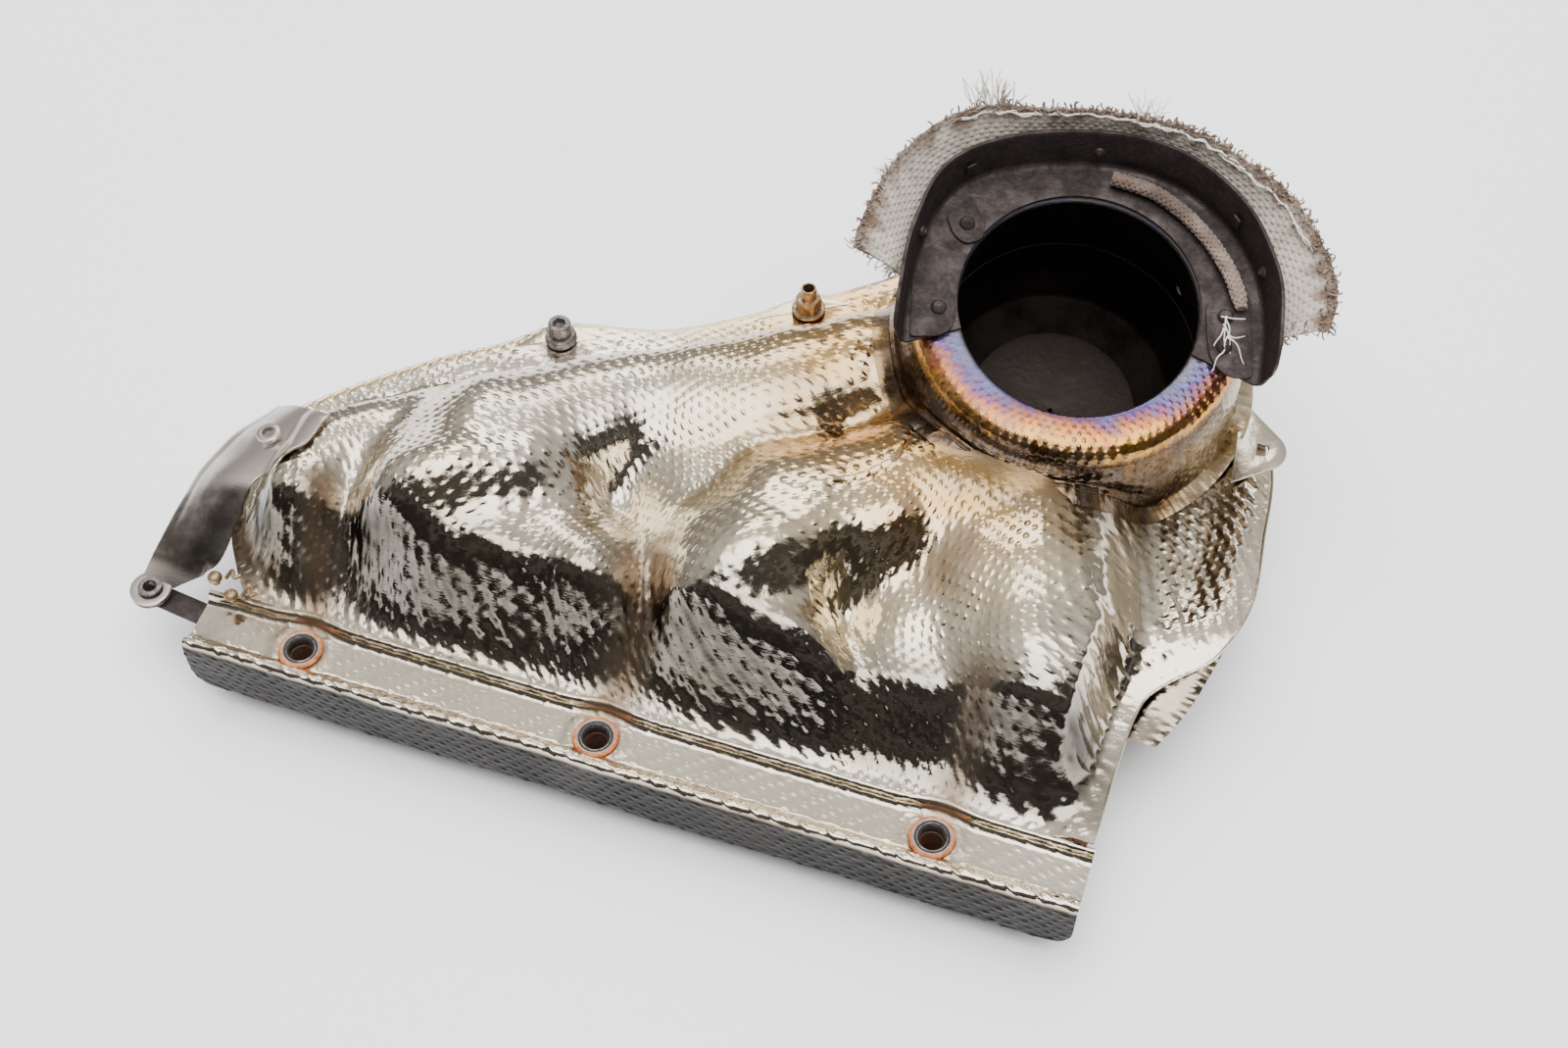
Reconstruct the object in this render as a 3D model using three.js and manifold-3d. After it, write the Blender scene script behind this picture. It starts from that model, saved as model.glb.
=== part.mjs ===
// Insulated four-runner exhaust manifold: a tubular manifold on a flat head flange, wrapped in an
// embossed stainless heat shield with a leaning outlet tower.
// Millimetres, +Z up. Origin: centre of the head flange's sealing face. +X along the head flange
// towards the outlet tower, +Y from the bolt rail towards the rear flange.
import * as THREE from 'three';
import { mergeGeometries, mergeVertices } from 'three/addons/utils/BufferGeometryUtils.js';
import Module from 'manifold-3d';

const wasm = await Module();
wasm.setup();

// ---------- driving dimensions ----------
const GAP = 0.3;
const SHEET = 1.2;

const FLANGE = { length: 372, width: 64, thick: 12, corner: 14 };
const PORT = { pitch: 104, radius: 15.5, count: 4 };
const STUD_HOLE = 4.5;
const RUNNER = { radius: 17, wall: 1.6 };

const RAIL = { left: -186, right: 190, front: -42, back: -16, z: 40, crest: 42.8, ridge: 44.6, skirt: 13 };
const GROMMET = { x: [-139, -10, 129], y: -28, bore: 4.6, flange: 9.2 };
const SEAM_Z = 60;
const SHELL_FOOT = 44;

// Rear seam fasteners, and the lug with a plain hole on the right.
const CAP_SCREW = { x: -92, y: 144 };
const COLLAR_NUT = { x: 6, y: 194 };
const LUG = { x: 211.5, y: 181, radius: 11 };

// Outlet tower: hole centre, lean of its axis, and the radii of its turned ring and wall.
const TOWER = {
  centre: new THREE.Vector3(125.5, 181, 122),
  lean: THREE.MathUtils.degToRad(13.6),
  heading: THREE.MathUtils.degToRad(18.5),
  hole: 49,
  flat: 59,
  shoulder: 69,
  base: 74.4,
};

const COLLECTOR = { neck: 52, wall: 2, belly: 58, seamDepth: 52, depth: 106, lip: 4 };
const BRACKET = { thick: 1.5, inner: 49.6, wallHeight: 21, wallFlare: 2.5, lift: 0.4 };
const CLOTH = { thick: 1.8, low: 5 };
const RIVET = { head: 3.3, rise: 2.2, mandrel: 1.3 };

// ---------- colours ----------
const FOIL = finish(0xcfc4ae, 0.22, 1);
const TINTED_FOIL = finish(0xb9a27c, 0.25, 1);
const LOWER_FOIL = finish(0x8f8676, 0.3, 1);
const SATIN = finish(0xa79f92, 0.35, 1);
const DARK = finish(0x4b4240, 0.6, 0.8);
const SOOT = finish(0x1d1917, 0.8, 0.6);
const CAST = finish(0x5a4f47, 0.7, 0.8);
const RUST = finish(0x9a4a2a, 0.8, 0.4);
const ZINC = finish(0x9c9c9e, 0.4, 1);
const BRONZE = finish(0xb59a6c, 0.35, 1);
const CLOTH_COLOUR = finish(0xb5a58f, 0.95, 0);
const MAT_COLOUR = finish(0xd8d0c0, 0.95, 0);

function finish(color, roughness, metalness) {
  return new THREE.MeshStandardMaterial({ color, roughness, metalness });
}

// ---------- small maths ----------
const clamp01 = (t) => Math.min(1, Math.max(0, t));
const mix = (a, b, t) => a + (b - a) * t;

function smoothstep(a, b, x) {
  const t = clamp01((x - a) / (b - a));
  return t * t * (3 - 2 * t);
}

function smoothMax(a, b, k) {
  const d = Math.max(k - Math.abs(a - b), 0) / k;
  return Math.max(a, b) + d * d * k * 0.25;
}

// Value at x on a smooth curve through [position, value] pairs.
function through(pairs, x) {
  let i = 0;
  while (i < pairs.length - 2 && x > pairs[i + 1][0]) i += 1;
  const [x0, y0] = pairs[i];
  const [x1, y1] = pairs[i + 1];
  const before = pairs[Math.max(i - 1, 0)];
  const after = pairs[Math.min(i + 2, pairs.length - 1)];
  const span = x1 - x0;
  const m0 = ((y1 - before[1]) / (x1 - before[0])) * span;
  const m1 = ((after[1] - y0) / (after[0] - x0)) * span;
  const t = clamp01((x - x0) / span);
  const t2 = t * t;
  const t3 = t2 * t;
  return (2 * t3 - 3 * t2 + 1) * y0 + (t3 - 2 * t2 + t) * m0 + (3 * t2 - 2 * t3) * y1 + (t3 - t2) * m1;
}

// ---------- the shield's shape ----------
// Rear edge of both shells in plan, as [x, y].
const REAR_EDGE = [
  [-192, 64], [-170, 88], [-138, 117], [-113, 135], [-98, 150], [-84, 155], [-50, 163], [-16, 184],
  [0, 199], [16, 208], [33, 222], [60, 248], [90, 267], [120, 273], [150, 268], [175, 251], [196, 212],
  [206, 198], [226, 180],
];
// Left and right edges of the upper shell, as [share of the way from the foot to the rear edge, x].
const LEFT_EDGE = [[0, -170], [0.12, -179], [0.3, -188], [0.55, -192], [1, -188]];
const RIGHT_EDGE = [
  [0, 189], [0.2, 190], [0.29, 193], [0.36, 202], [0.45, 216], [0.6, 224], [0.78, 222], [0.9, 220], [1, 214],
];

// Each lobe follows one runner: [x, y, height of its axis, radius].
const LOBES = [
  [[-152, -14, 34, 16], [-156, 2, 54, 22], [-162, 26, 60, 24], [-158, 50, 60, 22], [-125, 78, 56, 22]],
  [[-62, -16, 34, 22], [-72, -2, 50, 32], [-92, 12, 56, 36], [-100, 40, 62, 37], [-90, 74, 64, 34],
    [-60, 100, 62, 31], [-25, 122, 60, 30], [40, 158, 60, 32], [90, 182, 60, 40]],
  [[-30, -10, 36, 20], [-36, 6, 52, 28], [-38, 24, 56, 30], [-62, 40, 58, 32]],
  [[66, -16, 34, 24], [56, 0, 52, 34], [36, 24, 57, 38], [28, 48, 61, 38], [42, 76, 60, 38],
    [74, 100, 58, 38], [110, 135, 56, 40]],
  [[166, -16, 30, 20], [160, 4, 46, 28], [150, 42, 56, 36], [137, 76, 58, 38], [128, 120, 56, 38]],
  [[108, -10, 32, 18], [104, 20, 44, 26], [98, 60, 50, 32], [100, 100, 52, 36]],
  [[-14, 48, 44, 26], [-6, 88, 48, 30], [12, 122, 50, 32]],
];
const LOBE_BLEND = 26;
// Pressed steps that run diagonally across the lobes, each a line in plan, lower on the rail's side.
const STEPS = [
  [[-134, 4], [-118, 14], [-78, 40], [-38, 67], [-24, 78]],
  [[4, 8], [16, 16], [47, 38], [84, 66], [98, 78]],
];
const STEP = { high: 4.2, wide: 11, fade: 0.22 };

function lobeHeight(lobe, x, y) {
  let best = -1e3;
  for (let i = 0; i < lobe.length - 1; i += 1) {
    const [ax, ay, az, ar] = lobe[i];
    const [bx, by, bz, br] = lobe[i + 1];
    const length2 = (bx - ax) ** 2 + (by - ay) ** 2;
    const t = clamp01(((x - ax) * (bx - ax) + (y - ay) * (by - ay)) / length2);
    const d = Math.hypot(x - mix(ax, bx, t), y - mix(ay, by, t));
    const r = mix(ar, br, t);
    const round = Math.min(d, 0.9 * r);
    const z = mix(az, bz, t) + Math.sqrt(r * r - round * round) - 2.065 * Math.max(0, d - 0.9 * r);
    best = smoothMax(best, z, 5);
  }
  return best;
}

const rearEdge = (x) => through(REAR_EDGE, x);
const SHELL_SPAN = 390;
const rightRim = (y) => mix(SHELL_FOOT + 4, SEAM_Z, smoothstep(45, 90, y));
const leftRim = (y) => mix(SHELL_FOOT + 2, SEAM_Z, smoothstep(0, 60, y));

// Height of the upper shell's outer face. across is the share of the way from its left to its right edge.
// Height that the pressed steps add at a point of the shell.
function stepHeight(x, y) {
  let total = 0;
  for (const line of STEPS) {
    let near = Infinity;
    let share = 0;
    let offset = 0;
    for (let k = 0; k < line.length - 1; k++) {
      const [ax, ay] = line[k];
      const dx = line[k + 1][0] - ax;
      const dy = line[k + 1][1] - ay;
      const t = Math.min(1, Math.max(0, ((x - ax) * dx + (y - ay) * dy) / (dx * dx + dy * dy)));
      const reach = Math.hypot(x - ax - t * dx, y - ay - t * dy);
      if (reach < near) {
        near = reach;
        share = (k + t) / (line.length - 1);
        offset = reach * Math.sign(dx * (y - ay) - dy * (x - ax)) / STEP.wide;
      }
    }
    const fade = smoothstep(0, STEP.fade, share) * smoothstep(0, STEP.fade, 1 - share);
    total += STEP.high * fade * offset * Math.exp(0.5 - 0.5 * offset * offset);
  }
  return total;
}

function shellHeight(x, y, across) {
  const back = rearEdge(x) - y;
  let z = mix(SHELL_FOOT, SEAM_Z - 4, smoothstep(-10, 60, y));
  for (const lobe of LOBES) z = smoothMax(z, lobeHeight(lobe, x, y), LOBE_BLEND);
  z = mix(SHELL_FOOT, z + stepHeight(x, y), smoothstep(-14, 22, y));
  z = mix(SEAM_Z, z, smoothstep(9, 34, back));
  z = mix(rightRim(y), z, smoothstep(8, 34, (1 - across) * SHELL_SPAN));
  for (const seat of [CAP_SCREW, COLLAR_NUT]) {
    z = mix(SEAM_Z, z, smoothstep(15, 27, Math.hypot(x - seat.x, y - seat.y)));
  }
  return mix(leftRim(y), z, smoothstep(2, 24, across * SHELL_SPAN));
}

// Rail section from the skirt's lower edge to the shell's foot, as [y, z].
const RAIL_SECTION = [
  [RAIL.front, RAIL.skirt], [RAIL.front, 39.6], [RAIL.front + 0.6, 41.6], [RAIL.front + 1.8, RAIL.crest],
  [RAIL.front + 3, 41.8], [RAIL.front + 4, RAIL.z], [RAIL.back - 2.2, RAIL.z], [RAIL.back - 1, 42.6],
  [RAIL.back, RAIL.ridge], [RAIL.back + 1.4, RAIL.ridge],
];
const SHELL_ROWS = 12;
const SHELL_COLUMNS = 30;

function upperShellPoint(i, j) {
  const u = i / SHELL_COLUMNS;
  if (j < RAIL_SECTION.length) {
    const [y, z] = RAIL_SECTION[j];
    return new THREE.Vector3(mix(RAIL.left, RAIL.right, u), y, z);
  }
  const v = (j - RAIL_SECTION.length + 1) / SHELL_ROWS;
  const x = mix(through(LEFT_EDGE, v), through(RIGHT_EDGE, v), u);
  const foot = RAIL.back + 1.4;
  const y = mix(foot, rearEdge(x), v);
  return new THREE.Vector3(x, y, shellHeight(x, y, u));
}

// Height of the lower shell's outer face: a tray under the runners, deepest under the collector.
const TRAY = { front: 37, floor: 6, low: 1.2, span: 400, seat: { x: 115, y: 175 } };
const TRAY_LEFT = [[0, -182], [0.2, -186], [0.5, -189], [1, -187]];
const TRAY_RIGHT = [[0, 202], [0.1, 209], [0.2, 214], [0.35, 219], [0.6, 221], [0.8, 220], [1, 213]];

function lowerShellPoint(i, j, columns, rows) {
  const u = i / columns;
  const v = j / rows;
  const x = mix(through(TRAY_LEFT, v), through(TRAY_RIGHT, v), u);
  const y = mix(TRAY.front, rearEdge(x) - 1, v);
  const back = rearEdge(x) - y;
  const pool = 1 - smoothstep(40, 95, Math.hypot(x - TRAY.seat.x, y - TRAY.seat.y));
  const floor = mix(TRAY.floor, TRAY.low, pool);
  const drop = SHEET + 1.4;
  const rear = mix(SEAM_Z - drop, floor, smoothstep(9, 36, back));
  const left = mix(leftRim(y) - drop, rear, smoothstep(4, 24, u * TRAY.span));
  const z = mix(rightRim(y) - drop - 2, left, smoothstep(5, 26, (1 - u) * TRAY.span));
  return new THREE.Vector3(x, y, z);
}

// ---------- solids ----------
// Closed sheet under the grid point(i, j); its thickness goes against the cross product of i and j.
function sheetSolid(point, columns, rows, thickness, closed = false) {
  const wide = closed ? columns : columns + 1;
  const top = [];
  for (let j = 0; j <= rows; j += 1) {
    for (let i = 0; i < wide; i += 1) top.push(point(i, j));
  }
  const at = (i, j) => top[j * wide + (closed ? (i + wide) % wide : Math.min(Math.max(i, 0), columns))];
  const positions = [];
  const bottom = [];
  for (let j = 0; j <= rows; j += 1) {
    for (let i = 0; i < wide; i += 1) {
      const along = at(i + 1, j).clone().sub(at(i - 1, j));
      const across = at(i, Math.min(j + 1, rows)).clone().sub(at(i, Math.max(j - 1, 0)));
      const normal = along.cross(across).normalize();
      const p = at(i, j);
      positions.push(p.x, p.y, p.z);
      bottom.push(p.x - normal.x * thickness, p.y - normal.y * thickness, p.z - normal.z * thickness);
    }
  }
  const count = wide * (rows + 1);
  const index = [];
  const id = (i, j) => j * wide + (closed ? i % wide : i);
  for (let j = 0; j < rows; j += 1) {
    for (let i = 0; i < columns; i += 1) {
      const a = id(i, j);
      const b = id(i + 1, j);
      const c = id(i + 1, j + 1);
      const d = id(i, j + 1);
      index.push(a, b, c, a, c, d);
      index.push(count + a, count + c, count + b, count + a, count + d, count + c);
    }
  }
  const wall = (a, b) => index.push(b, a, count + a, b, count + a, count + b);
  for (let i = 0; i < columns; i += 1) {
    wall(id(i, 0), id(i + 1, 0));
    wall(id(i + 1, rows), id(i, rows));
  }
  if (!closed) {
    for (let j = 0; j < rows; j += 1) {
      wall(id(0, j + 1), id(0, j));
      wall(id(columns, j), id(columns, j + 1));
    }
  }
  const geometry = new THREE.BufferGeometry();
  geometry.setAttribute('position', new THREE.Float32BufferAttribute(positions.concat(bottom), 3));
  geometry.setIndex(index);
  return geometry;
}

function toSolid(geometry) {
  const bare = geometry.clone();
  bare.deleteAttribute('normal');
  bare.deleteAttribute('uv');
  const merged = mergeVertices(bare, 1e-4);
  return new wasm.Manifold(new wasm.Mesh({
    numProp: 3,
    vertProperties: new Float32Array(merged.attributes.position.array),
    triVerts: new Uint32Array(merged.index.array),
  }));
}

function toGeometry(solid) {
  const mesh = solid.getMesh();
  const geometry = new THREE.BufferGeometry();
  geometry.setAttribute('position', new THREE.BufferAttribute(new Float32Array(mesh.vertProperties), 3));
  geometry.setIndex(new THREE.BufferAttribute(new Uint32Array(mesh.triVerts), 1));
  return geometry;
}

function cut(geometry, ...tools) {
  return toGeometry(tools.reduce((solid, tool) => solid.subtract(toSolid(tool)), toSolid(geometry)));
}

// The largest separate body of a solid, without the slivers that a cut leaves.
function mainBody(geometry) {
  const bodies = toSolid(geometry).decompose();
  bodies.sort((a, b) => b.volume() - a.volume());
  return toGeometry(bodies[0]);
}

function join(geometry, ...others) {
  return toGeometry(others.reduce((solid, other) => solid.add(toSolid(other)), toSolid(geometry)));
}

// Upright cylinder from z0 to z1 at (x, y).
function post(radius, z0, z1, x = 0, y = 0, sides = 32) {
  const geometry = new THREE.CylinderGeometry(radius, radius, z1 - z0, sides);
  return geometry.rotateX(Math.PI / 2).translate(x, y, (z0 + z1) / 2);
}

// Turned solid about Z from a closed [radius, z] section, listed anticlockwise.
function turned(section, sides = 32) {
  const points = section.map(([r, z]) => new THREE.Vector2(r, z));
  if (section[0][0] > 0) points.push(points[0].clone());
  return new THREE.LatheGeometry(points, sides).rotateX(Math.PI / 2);
}

function ringShape(outer, inner) {
  const shape = new THREE.Shape();
  shape.absarc(0, 0, outer, 0, Math.PI * 2, false);
  if (inner > 0) {
    const hole = new THREE.Path();
    hole.absarc(0, 0, inner, 0, Math.PI * 2, true);
    shape.holes.push(hole);
  }
  return shape;
}

function sweep(points, shape, steps, curveSegments) {
  const path = new THREE.CatmullRomCurve3(points.map((p) => new THREE.Vector3(...p)), false, 'centripetal');
  return new THREE.ExtrudeGeometry(shape, { extrudePath: path, steps, curveSegments, bevelEnabled: false });
}

const object = new THREE.Group();

function add(name, geometry, material, parent = object) {
  const mesh = new THREE.Mesh(geometry, material);
  mesh.name = name;
  parent.add(mesh);
  return mesh;
}

// ---------- frame of the leaning tower ----------
const axis = new THREE.Vector3(
  Math.sin(TOWER.heading) * Math.sin(TOWER.lean),
  -Math.cos(TOWER.heading) * Math.sin(TOWER.lean),
  Math.cos(TOWER.lean),
);
const sideways = new THREE.Vector3(Math.cos(TOWER.heading), Math.sin(TOWER.heading), 0);
const rearwards = new THREE.Vector3().crossVectors(axis, sideways);
const towerMatrix = new THREE.Matrix4().makeBasis(sideways, rearwards, axis).setPosition(TOWER.centre);
const tower = new THREE.Group();
tower.applyMatrix4(towerMatrix);
object.add(tower);

const toWorld = (x, y, z) => new THREE.Vector3(x, y, z).applyMatrix4(towerMatrix);
const inWorld = (geometry) => geometry.applyMatrix4(towerMatrix);

// ---------- head flange ----------
function headFlange() {
  const { length, width, corner } = FLANGE;
  const shape = new THREE.Shape();
  const x = length / 2;
  const y = width / 2;
  shape.moveTo(-x + corner, -y);
  shape.lineTo(x - corner, -y);
  shape.absarc(x - corner, -y + corner, corner, -Math.PI / 2, 0);
  shape.lineTo(x, y - corner);
  shape.absarc(x - corner, y - corner, corner, 0, Math.PI / 2);
  shape.lineTo(-x + corner, y);
  shape.absarc(-x + corner, y - corner, corner, Math.PI / 2, Math.PI);
  shape.lineTo(-x, -y + corner);
  shape.absarc(-x + corner, -y + corner, corner, Math.PI, Math.PI * 1.5);
  const hole = (hx, hy, radius) => {
    const path = new THREE.Path();
    path.absarc(hx, hy, radius, 0, Math.PI * 2, true);
    shape.holes.push(path);
  };
  for (let i = 0; i < PORT.count; i += 1) hole((i - 1.5) * PORT.pitch, 0, PORT.radius);
  const bossRow = [-104, 22, 104];
  const rearRow = [-104, 0, 104];
  for (const hx of bossRow) hole(hx, -23, STUD_HOLE);
  for (const hx of rearRow) hole(hx, 23, STUD_HOLE);
  for (const sx of [-1, 1]) for (const sy of [-1, 1]) hole(sx * 176, sy * 21, STUD_HOLE);
  return new THREE.ExtrudeGeometry(shape, { depth: FLANGE.thick, curveSegments: 5, bevelEnabled: false });
}
add('head_flange', headFlange(), CAST);

// Stand-off under each rail grommet, and the grommet with its inner sleeve.
GROMMET.x.forEach((x, i) => {
  const standOff = turned([[GROMMET.bore, 0], [7, 0], [7, 23.8], [GROMMET.bore, 23.8]], 16);
  add(`rail_stand_off_${i + 1}`, standOff.translate(x, GROMMET.y, FLANGE.thick + GAP), CAST);
  const ring = turned([[6.7, -3.4], [7.3, -3.4], [7.3, 0.3], [GROMMET.flange, 0.4], [GROMMET.flange, 1.3],
    [8.6, 1.8], [7.2, 1.8], [6.7, 1.3]], 18);
  add(`rail_grommet_${i + 1}`, ring.translate(x, GROMMET.y, RAIL.z), RUST);
  const sleeve = turned([[GROMMET.bore, -2.6], [6.4, -2.6], [6.4, 1.0], [6.0, 1.4], [5.5, 1.0],
    [GROMMET.bore, -1.4]], 18);
  add(`rail_sleeve_${i + 1}`, sleeve.translate(x, GROMMET.y, RAIL.z), ZINC);
});

// ---------- upper shell ----------
function lugPlate(x, y, radius, z0, thickness) {
  return post(radius, z0, z0 + thickness, x, y, 18);
}

function upperShell() {
  const rows = RAIL_SECTION.length - 1 + SHELL_ROWS;
  const sheet = sheetSolid(upperShellPoint, SHELL_COLUMNS, rows, SHEET);
  const z0 = SEAM_Z - SHEET;
  const lugs = [lugPlate(CAP_SCREW.x, CAP_SCREW.y, 9, z0, SHEET), lugPlate(COLLAR_NUT.x, COLLAR_NUT.y, 9, z0, SHEET),
    lugPlate(LUG.x, LUG.y, LUG.radius, z0, SHEET)];
  const openings = [
    inWorld(post(TOWER.base + 0.6, -110, 40, 0, 0, 40)),
    ...GROMMET.x.map((x) => post(7.6, 20, 60, x, GROMMET.y, 18)),
    post(3.6, 40, 80, CAP_SCREW.x, CAP_SCREW.y, 12),
    post(3.6, 40, 80, COLLAR_NUT.x, COLLAR_NUT.y, 12),
    post(3.6, 40, 80, LUG.x, LUG.y, 12),
  ];
  return cut(join(sheet, ...lugs), ...openings);
}
add('upper_shield', upperShell(), FOIL);

// ---------- port tower ----------
// Depth below the ring at which the tower's wall meets the upper shell, at an angle round its axis.
function wallDepth(angle) {
  let depth = 20;
  for (let k = 0; k < 12; k += 1) {
    const p = toWorld(Math.cos(angle) * TOWER.base, Math.sin(angle) * TOWER.base, -depth);
    const across = clamp01((p.x + 190) / 408);
    depth += (p.z - shellHeight(p.x, p.y, across)) * 0.8;
  }
  return Math.max(depth, 12) + 1.2;
}

const TOWER_SECTION = [
  [TOWER.hole, -2.4, 0], [TOWER.hole + 0.6, -0.6, 0], [TOWER.hole + 2.2, 0, 0], [TOWER.flat, 0, 0], [63, -0.9, 0],
  [66.6, -3.2, 0], [TOWER.shoulder, -7, 0], [71.2, 0, 0.45], [72.6, 0, 0.7], [TOWER.base, 0, 1],
];

function towerPoint(i, j, columns) {
  const angle = (i / columns) * Math.PI * 2;
  const [r, z, share] = TOWER_SECTION[TOWER_SECTION.length - 1 - j];
  const depth = share > 0 ? mix(-7, -wallDepth(angle), share) : z;
  return new THREE.Vector3(Math.cos(angle) * r, Math.sin(angle) * r, depth);
}
add('port_tower', sheetSolid((i, j) => towerPoint(i, j, 36), 36, TOWER_SECTION.length - 1, SHEET, true),
  TINTED_FOIL, tower);

// ---------- runners and collector ----------
const RUNNER_PATHS = [
  [[-156, 0, 12.3], [-156, 0, 21], [-154, 7, 34], [-140, 42, 34], [-98, 86, 27], [-34, 117, 26], [24, 150, 27],
    [64, 182, 30]],
  [[-52, 0, 12.3], [-52, 0, 20], [-56, 9, 35], [-76, 38, 56], [-80, 64, 64], [-54, 97, 65], [-16, 124, 65],
    [28, 150, 65], [62, 172, 64]],
  [[52, 0, 12.3], [52, 0, 20], [50, 9, 35], [42, 40, 56], [50, 80, 62], [70, 118, 62], [88, 144, 62]],
  [[156, 0, 12.3], [156, 0, 20], [154, 9, 33], [148, 42, 51], [140, 88, 60], [134, 120, 61], [131, 138, 61]],
];
const runnerSweep = (i, outer, inner) => sweep(RUNNER_PATHS[i], ringShape(outer, inner), 10, 5);
for (let i = 0; i < PORT.count; i += 1) {
  add(`runner_${i + 1}`, runnerSweep(i, RUNNER.radius, RUNNER.radius - RUNNER.wall), CAST);
}

const runnerCutters = RUNNER_PATHS.map((path, i) => {
  const tool = runnerSweep(i, RUNNER.radius + GAP, 0);
  return tool.applyMatrix4(towerMatrix.clone().invert());
});

function collectorHalf(section) {
  return mainBody(cut(turned(section, 26), ...runnerCutters));
}
const { neck, wall, belly, seamDepth, depth: potDepth, lip } = COLLECTOR;
const upperSection = [
  [neck, -4], [neck, -26], [belly - wall, -42], [belly - wall, -seamDepth + GAP], [belly + lip, -seamDepth + GAP],
  [belly + lip, -seamDepth + 2], [belly, -seamDepth + 2], [belly, -41], [neck + wall, -25], [neck + wall, -4],
];
const lowerSection = [
  [0, -potDepth + wall], [38, -potDepth + wall + 3], [52, -90], [belly - wall, -74], [belly - wall, -seamDepth],
  [belly + lip, -seamDepth], [belly + lip, -seamDepth - 1.7], [belly, -seamDepth - 1.7], [belly, -75],
  [53.5, -92], [39, -potDepth + 1], [0, -potDepth],
].reverse();
add('collector_upper', collectorHalf(upperSection), SOOT, tower);
add('collector_lower', collectorHalf(lowerSection), SOOT, tower);

// ---------- lower shell ----------
function lowerShell() {
  const columns = 24;
  const rows = 9;
  const sheet = sheetSolid((i, j) => lowerShellPoint(columns - i, j, columns, rows), columns, rows, SHEET);
  const z0 = SEAM_Z - 2 * SHEET - 1.4;
  const lugs = [lugPlate(CAP_SCREW.x, CAP_SCREW.y, 9, z0, SHEET), lugPlate(COLLAR_NUT.x, COLLAR_NUT.y, 9, z0, SHEET)];
  return cut(join(sheet, ...lugs), post(3.6, 30, 80, CAP_SCREW.x, CAP_SCREW.y, 12),
    post(3.6, 30, 80, COLLAR_NUT.x, COLLAR_NUT.y, 12), post(3.6, 50, 80, LUG.x, LUG.y, 12));
}
add('lower_shield', lowerShell(), LOWER_FOIL);

// ---------- left end cap ----------
// Outer and inner edge of the cap, as [share of the way from the rear to the lug, x, y, z].
const CAP_OUTER = [[0, -190, 66, 67], [0.2, -201, 46, 67], [0.4, -207, 28, 64], [0.6, -211, 12, 57],
  [0.8, -216, -2, 46], [1, -218, -15, 39.5]];
const CAP_INNER = [[0, -172, 52, 76], [0.2, -176, 38, 76], [0.4, -182, 28, 77], [0.5, -184, 18, 75],
  [0.65, -181, 6, 66], [0.8, -186, -7, 50], [1, -203, -17, 39.5]];
const END_LUG = { x: -212, y: -20, z: 38.4, radius: 8.6, hole: 4.4 };

const edgeAt = (edge, v, k) => through(edge.map((row) => [row[0], row[k]]), v);

function endCapPoint(i, j, columns, rows) {
  const u = i / columns;
  const v = 1 - j / rows;
  const [x, y, z] = [1, 2, 3].map((k) => mix(edgeAt(CAP_OUTER, v, k), edgeAt(CAP_INNER, v, k), u));
  const dome = 4 * Math.sin(Math.PI * u) * (1 - smoothstep(0.5, 1, v));
  const shell = shellHeight(x, y, clamp01((x + 190) / SHELL_SPAN)) + 2.4;
  const under = shell - 2.4 * Math.max(0, -190 - x);
  return new THREE.Vector3(x, y, smoothMax(z + dome, under, 3));
}

function endCap() {
  const sheet = sheetSolid((i, j) => endCapPoint(i, j, 6, 12), 6, 12, 1);
  const lug = lugPlate(END_LUG.x, END_LUG.y, END_LUG.radius, END_LUG.z, 1.2);
  return cut(join(sheet, lug), post(END_LUG.hole, 20, 60, END_LUG.x, END_LUG.y, 20));
}
add('end_cap', endCap(), SATIN);

function grommet(bore, outer, low, high) {
  return turned([[bore, low], [bore + 1.2, low], [bore + 1.2, high - 0.8], [outer, high - 0.8], [outer, high],
    [outer - 0.8, high + 0.5], [bore + 0.6, high + 0.5], [bore, high]], 16);
}
add('end_lug_grommet', grommet(2.6, 5, -2.2, 1.4).translate(END_LUG.x, END_LUG.y, END_LUG.z + 1.2), ZINC);
add('end_lug_washer', turned([[4.6, 0], [8.4, 0], [8.4, 1.4], [4.6, 1.4]], 16)
  .translate(END_LUG.x, END_LUG.y, END_LUG.z - 1.8), ZINC);

// Small plate under the lug, two stud screws and their bent spring clips at the foot of the cap.
const END_SCREWS = [[-183, -13, 50.5], [-174, -17.5, 48]];
function endPlate() {
  const outline = new THREE.Shape();
  outline.moveTo(-6, -5);
  outline.lineTo(36, -5);
  outline.lineTo(36, 5);
  outline.lineTo(-6, 5);
  outline.absarc(-6, 0, 5, Math.PI / 2, Math.PI * 1.5);
  const plate = new THREE.ExtrudeGeometry(outline, { depth: 1.5, curveSegments: 8, bevelEnabled: false });
  return plate.rotateZ(-0.12).translate(-206, -20, 33.8);
}
add('end_plate', endPlate(), DARK);
END_SCREWS.forEach(([x, y, z], i) => {
  const screw = turned([[0, -3], [1.5, -3], [1.5, 0], [3, 0], [3, 1.4], [2, 2.6], [0, 2.9]], 16);
  add(`end_screw_${i + 1}`, screw.translate(x, y, z), BRONZE);
  const clip = sweep([[x + 3.6, y + 2, z - 1], [x + 6, y + 5, z + 1.5], [x + 8, y + 2, z + 1.5], [x + 10, y + 4, z + 1.5]],
    ringShape(0.8, 0), 10, 3);
  add(`end_clip_${i + 1}`, clip, BRONZE);
});

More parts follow.
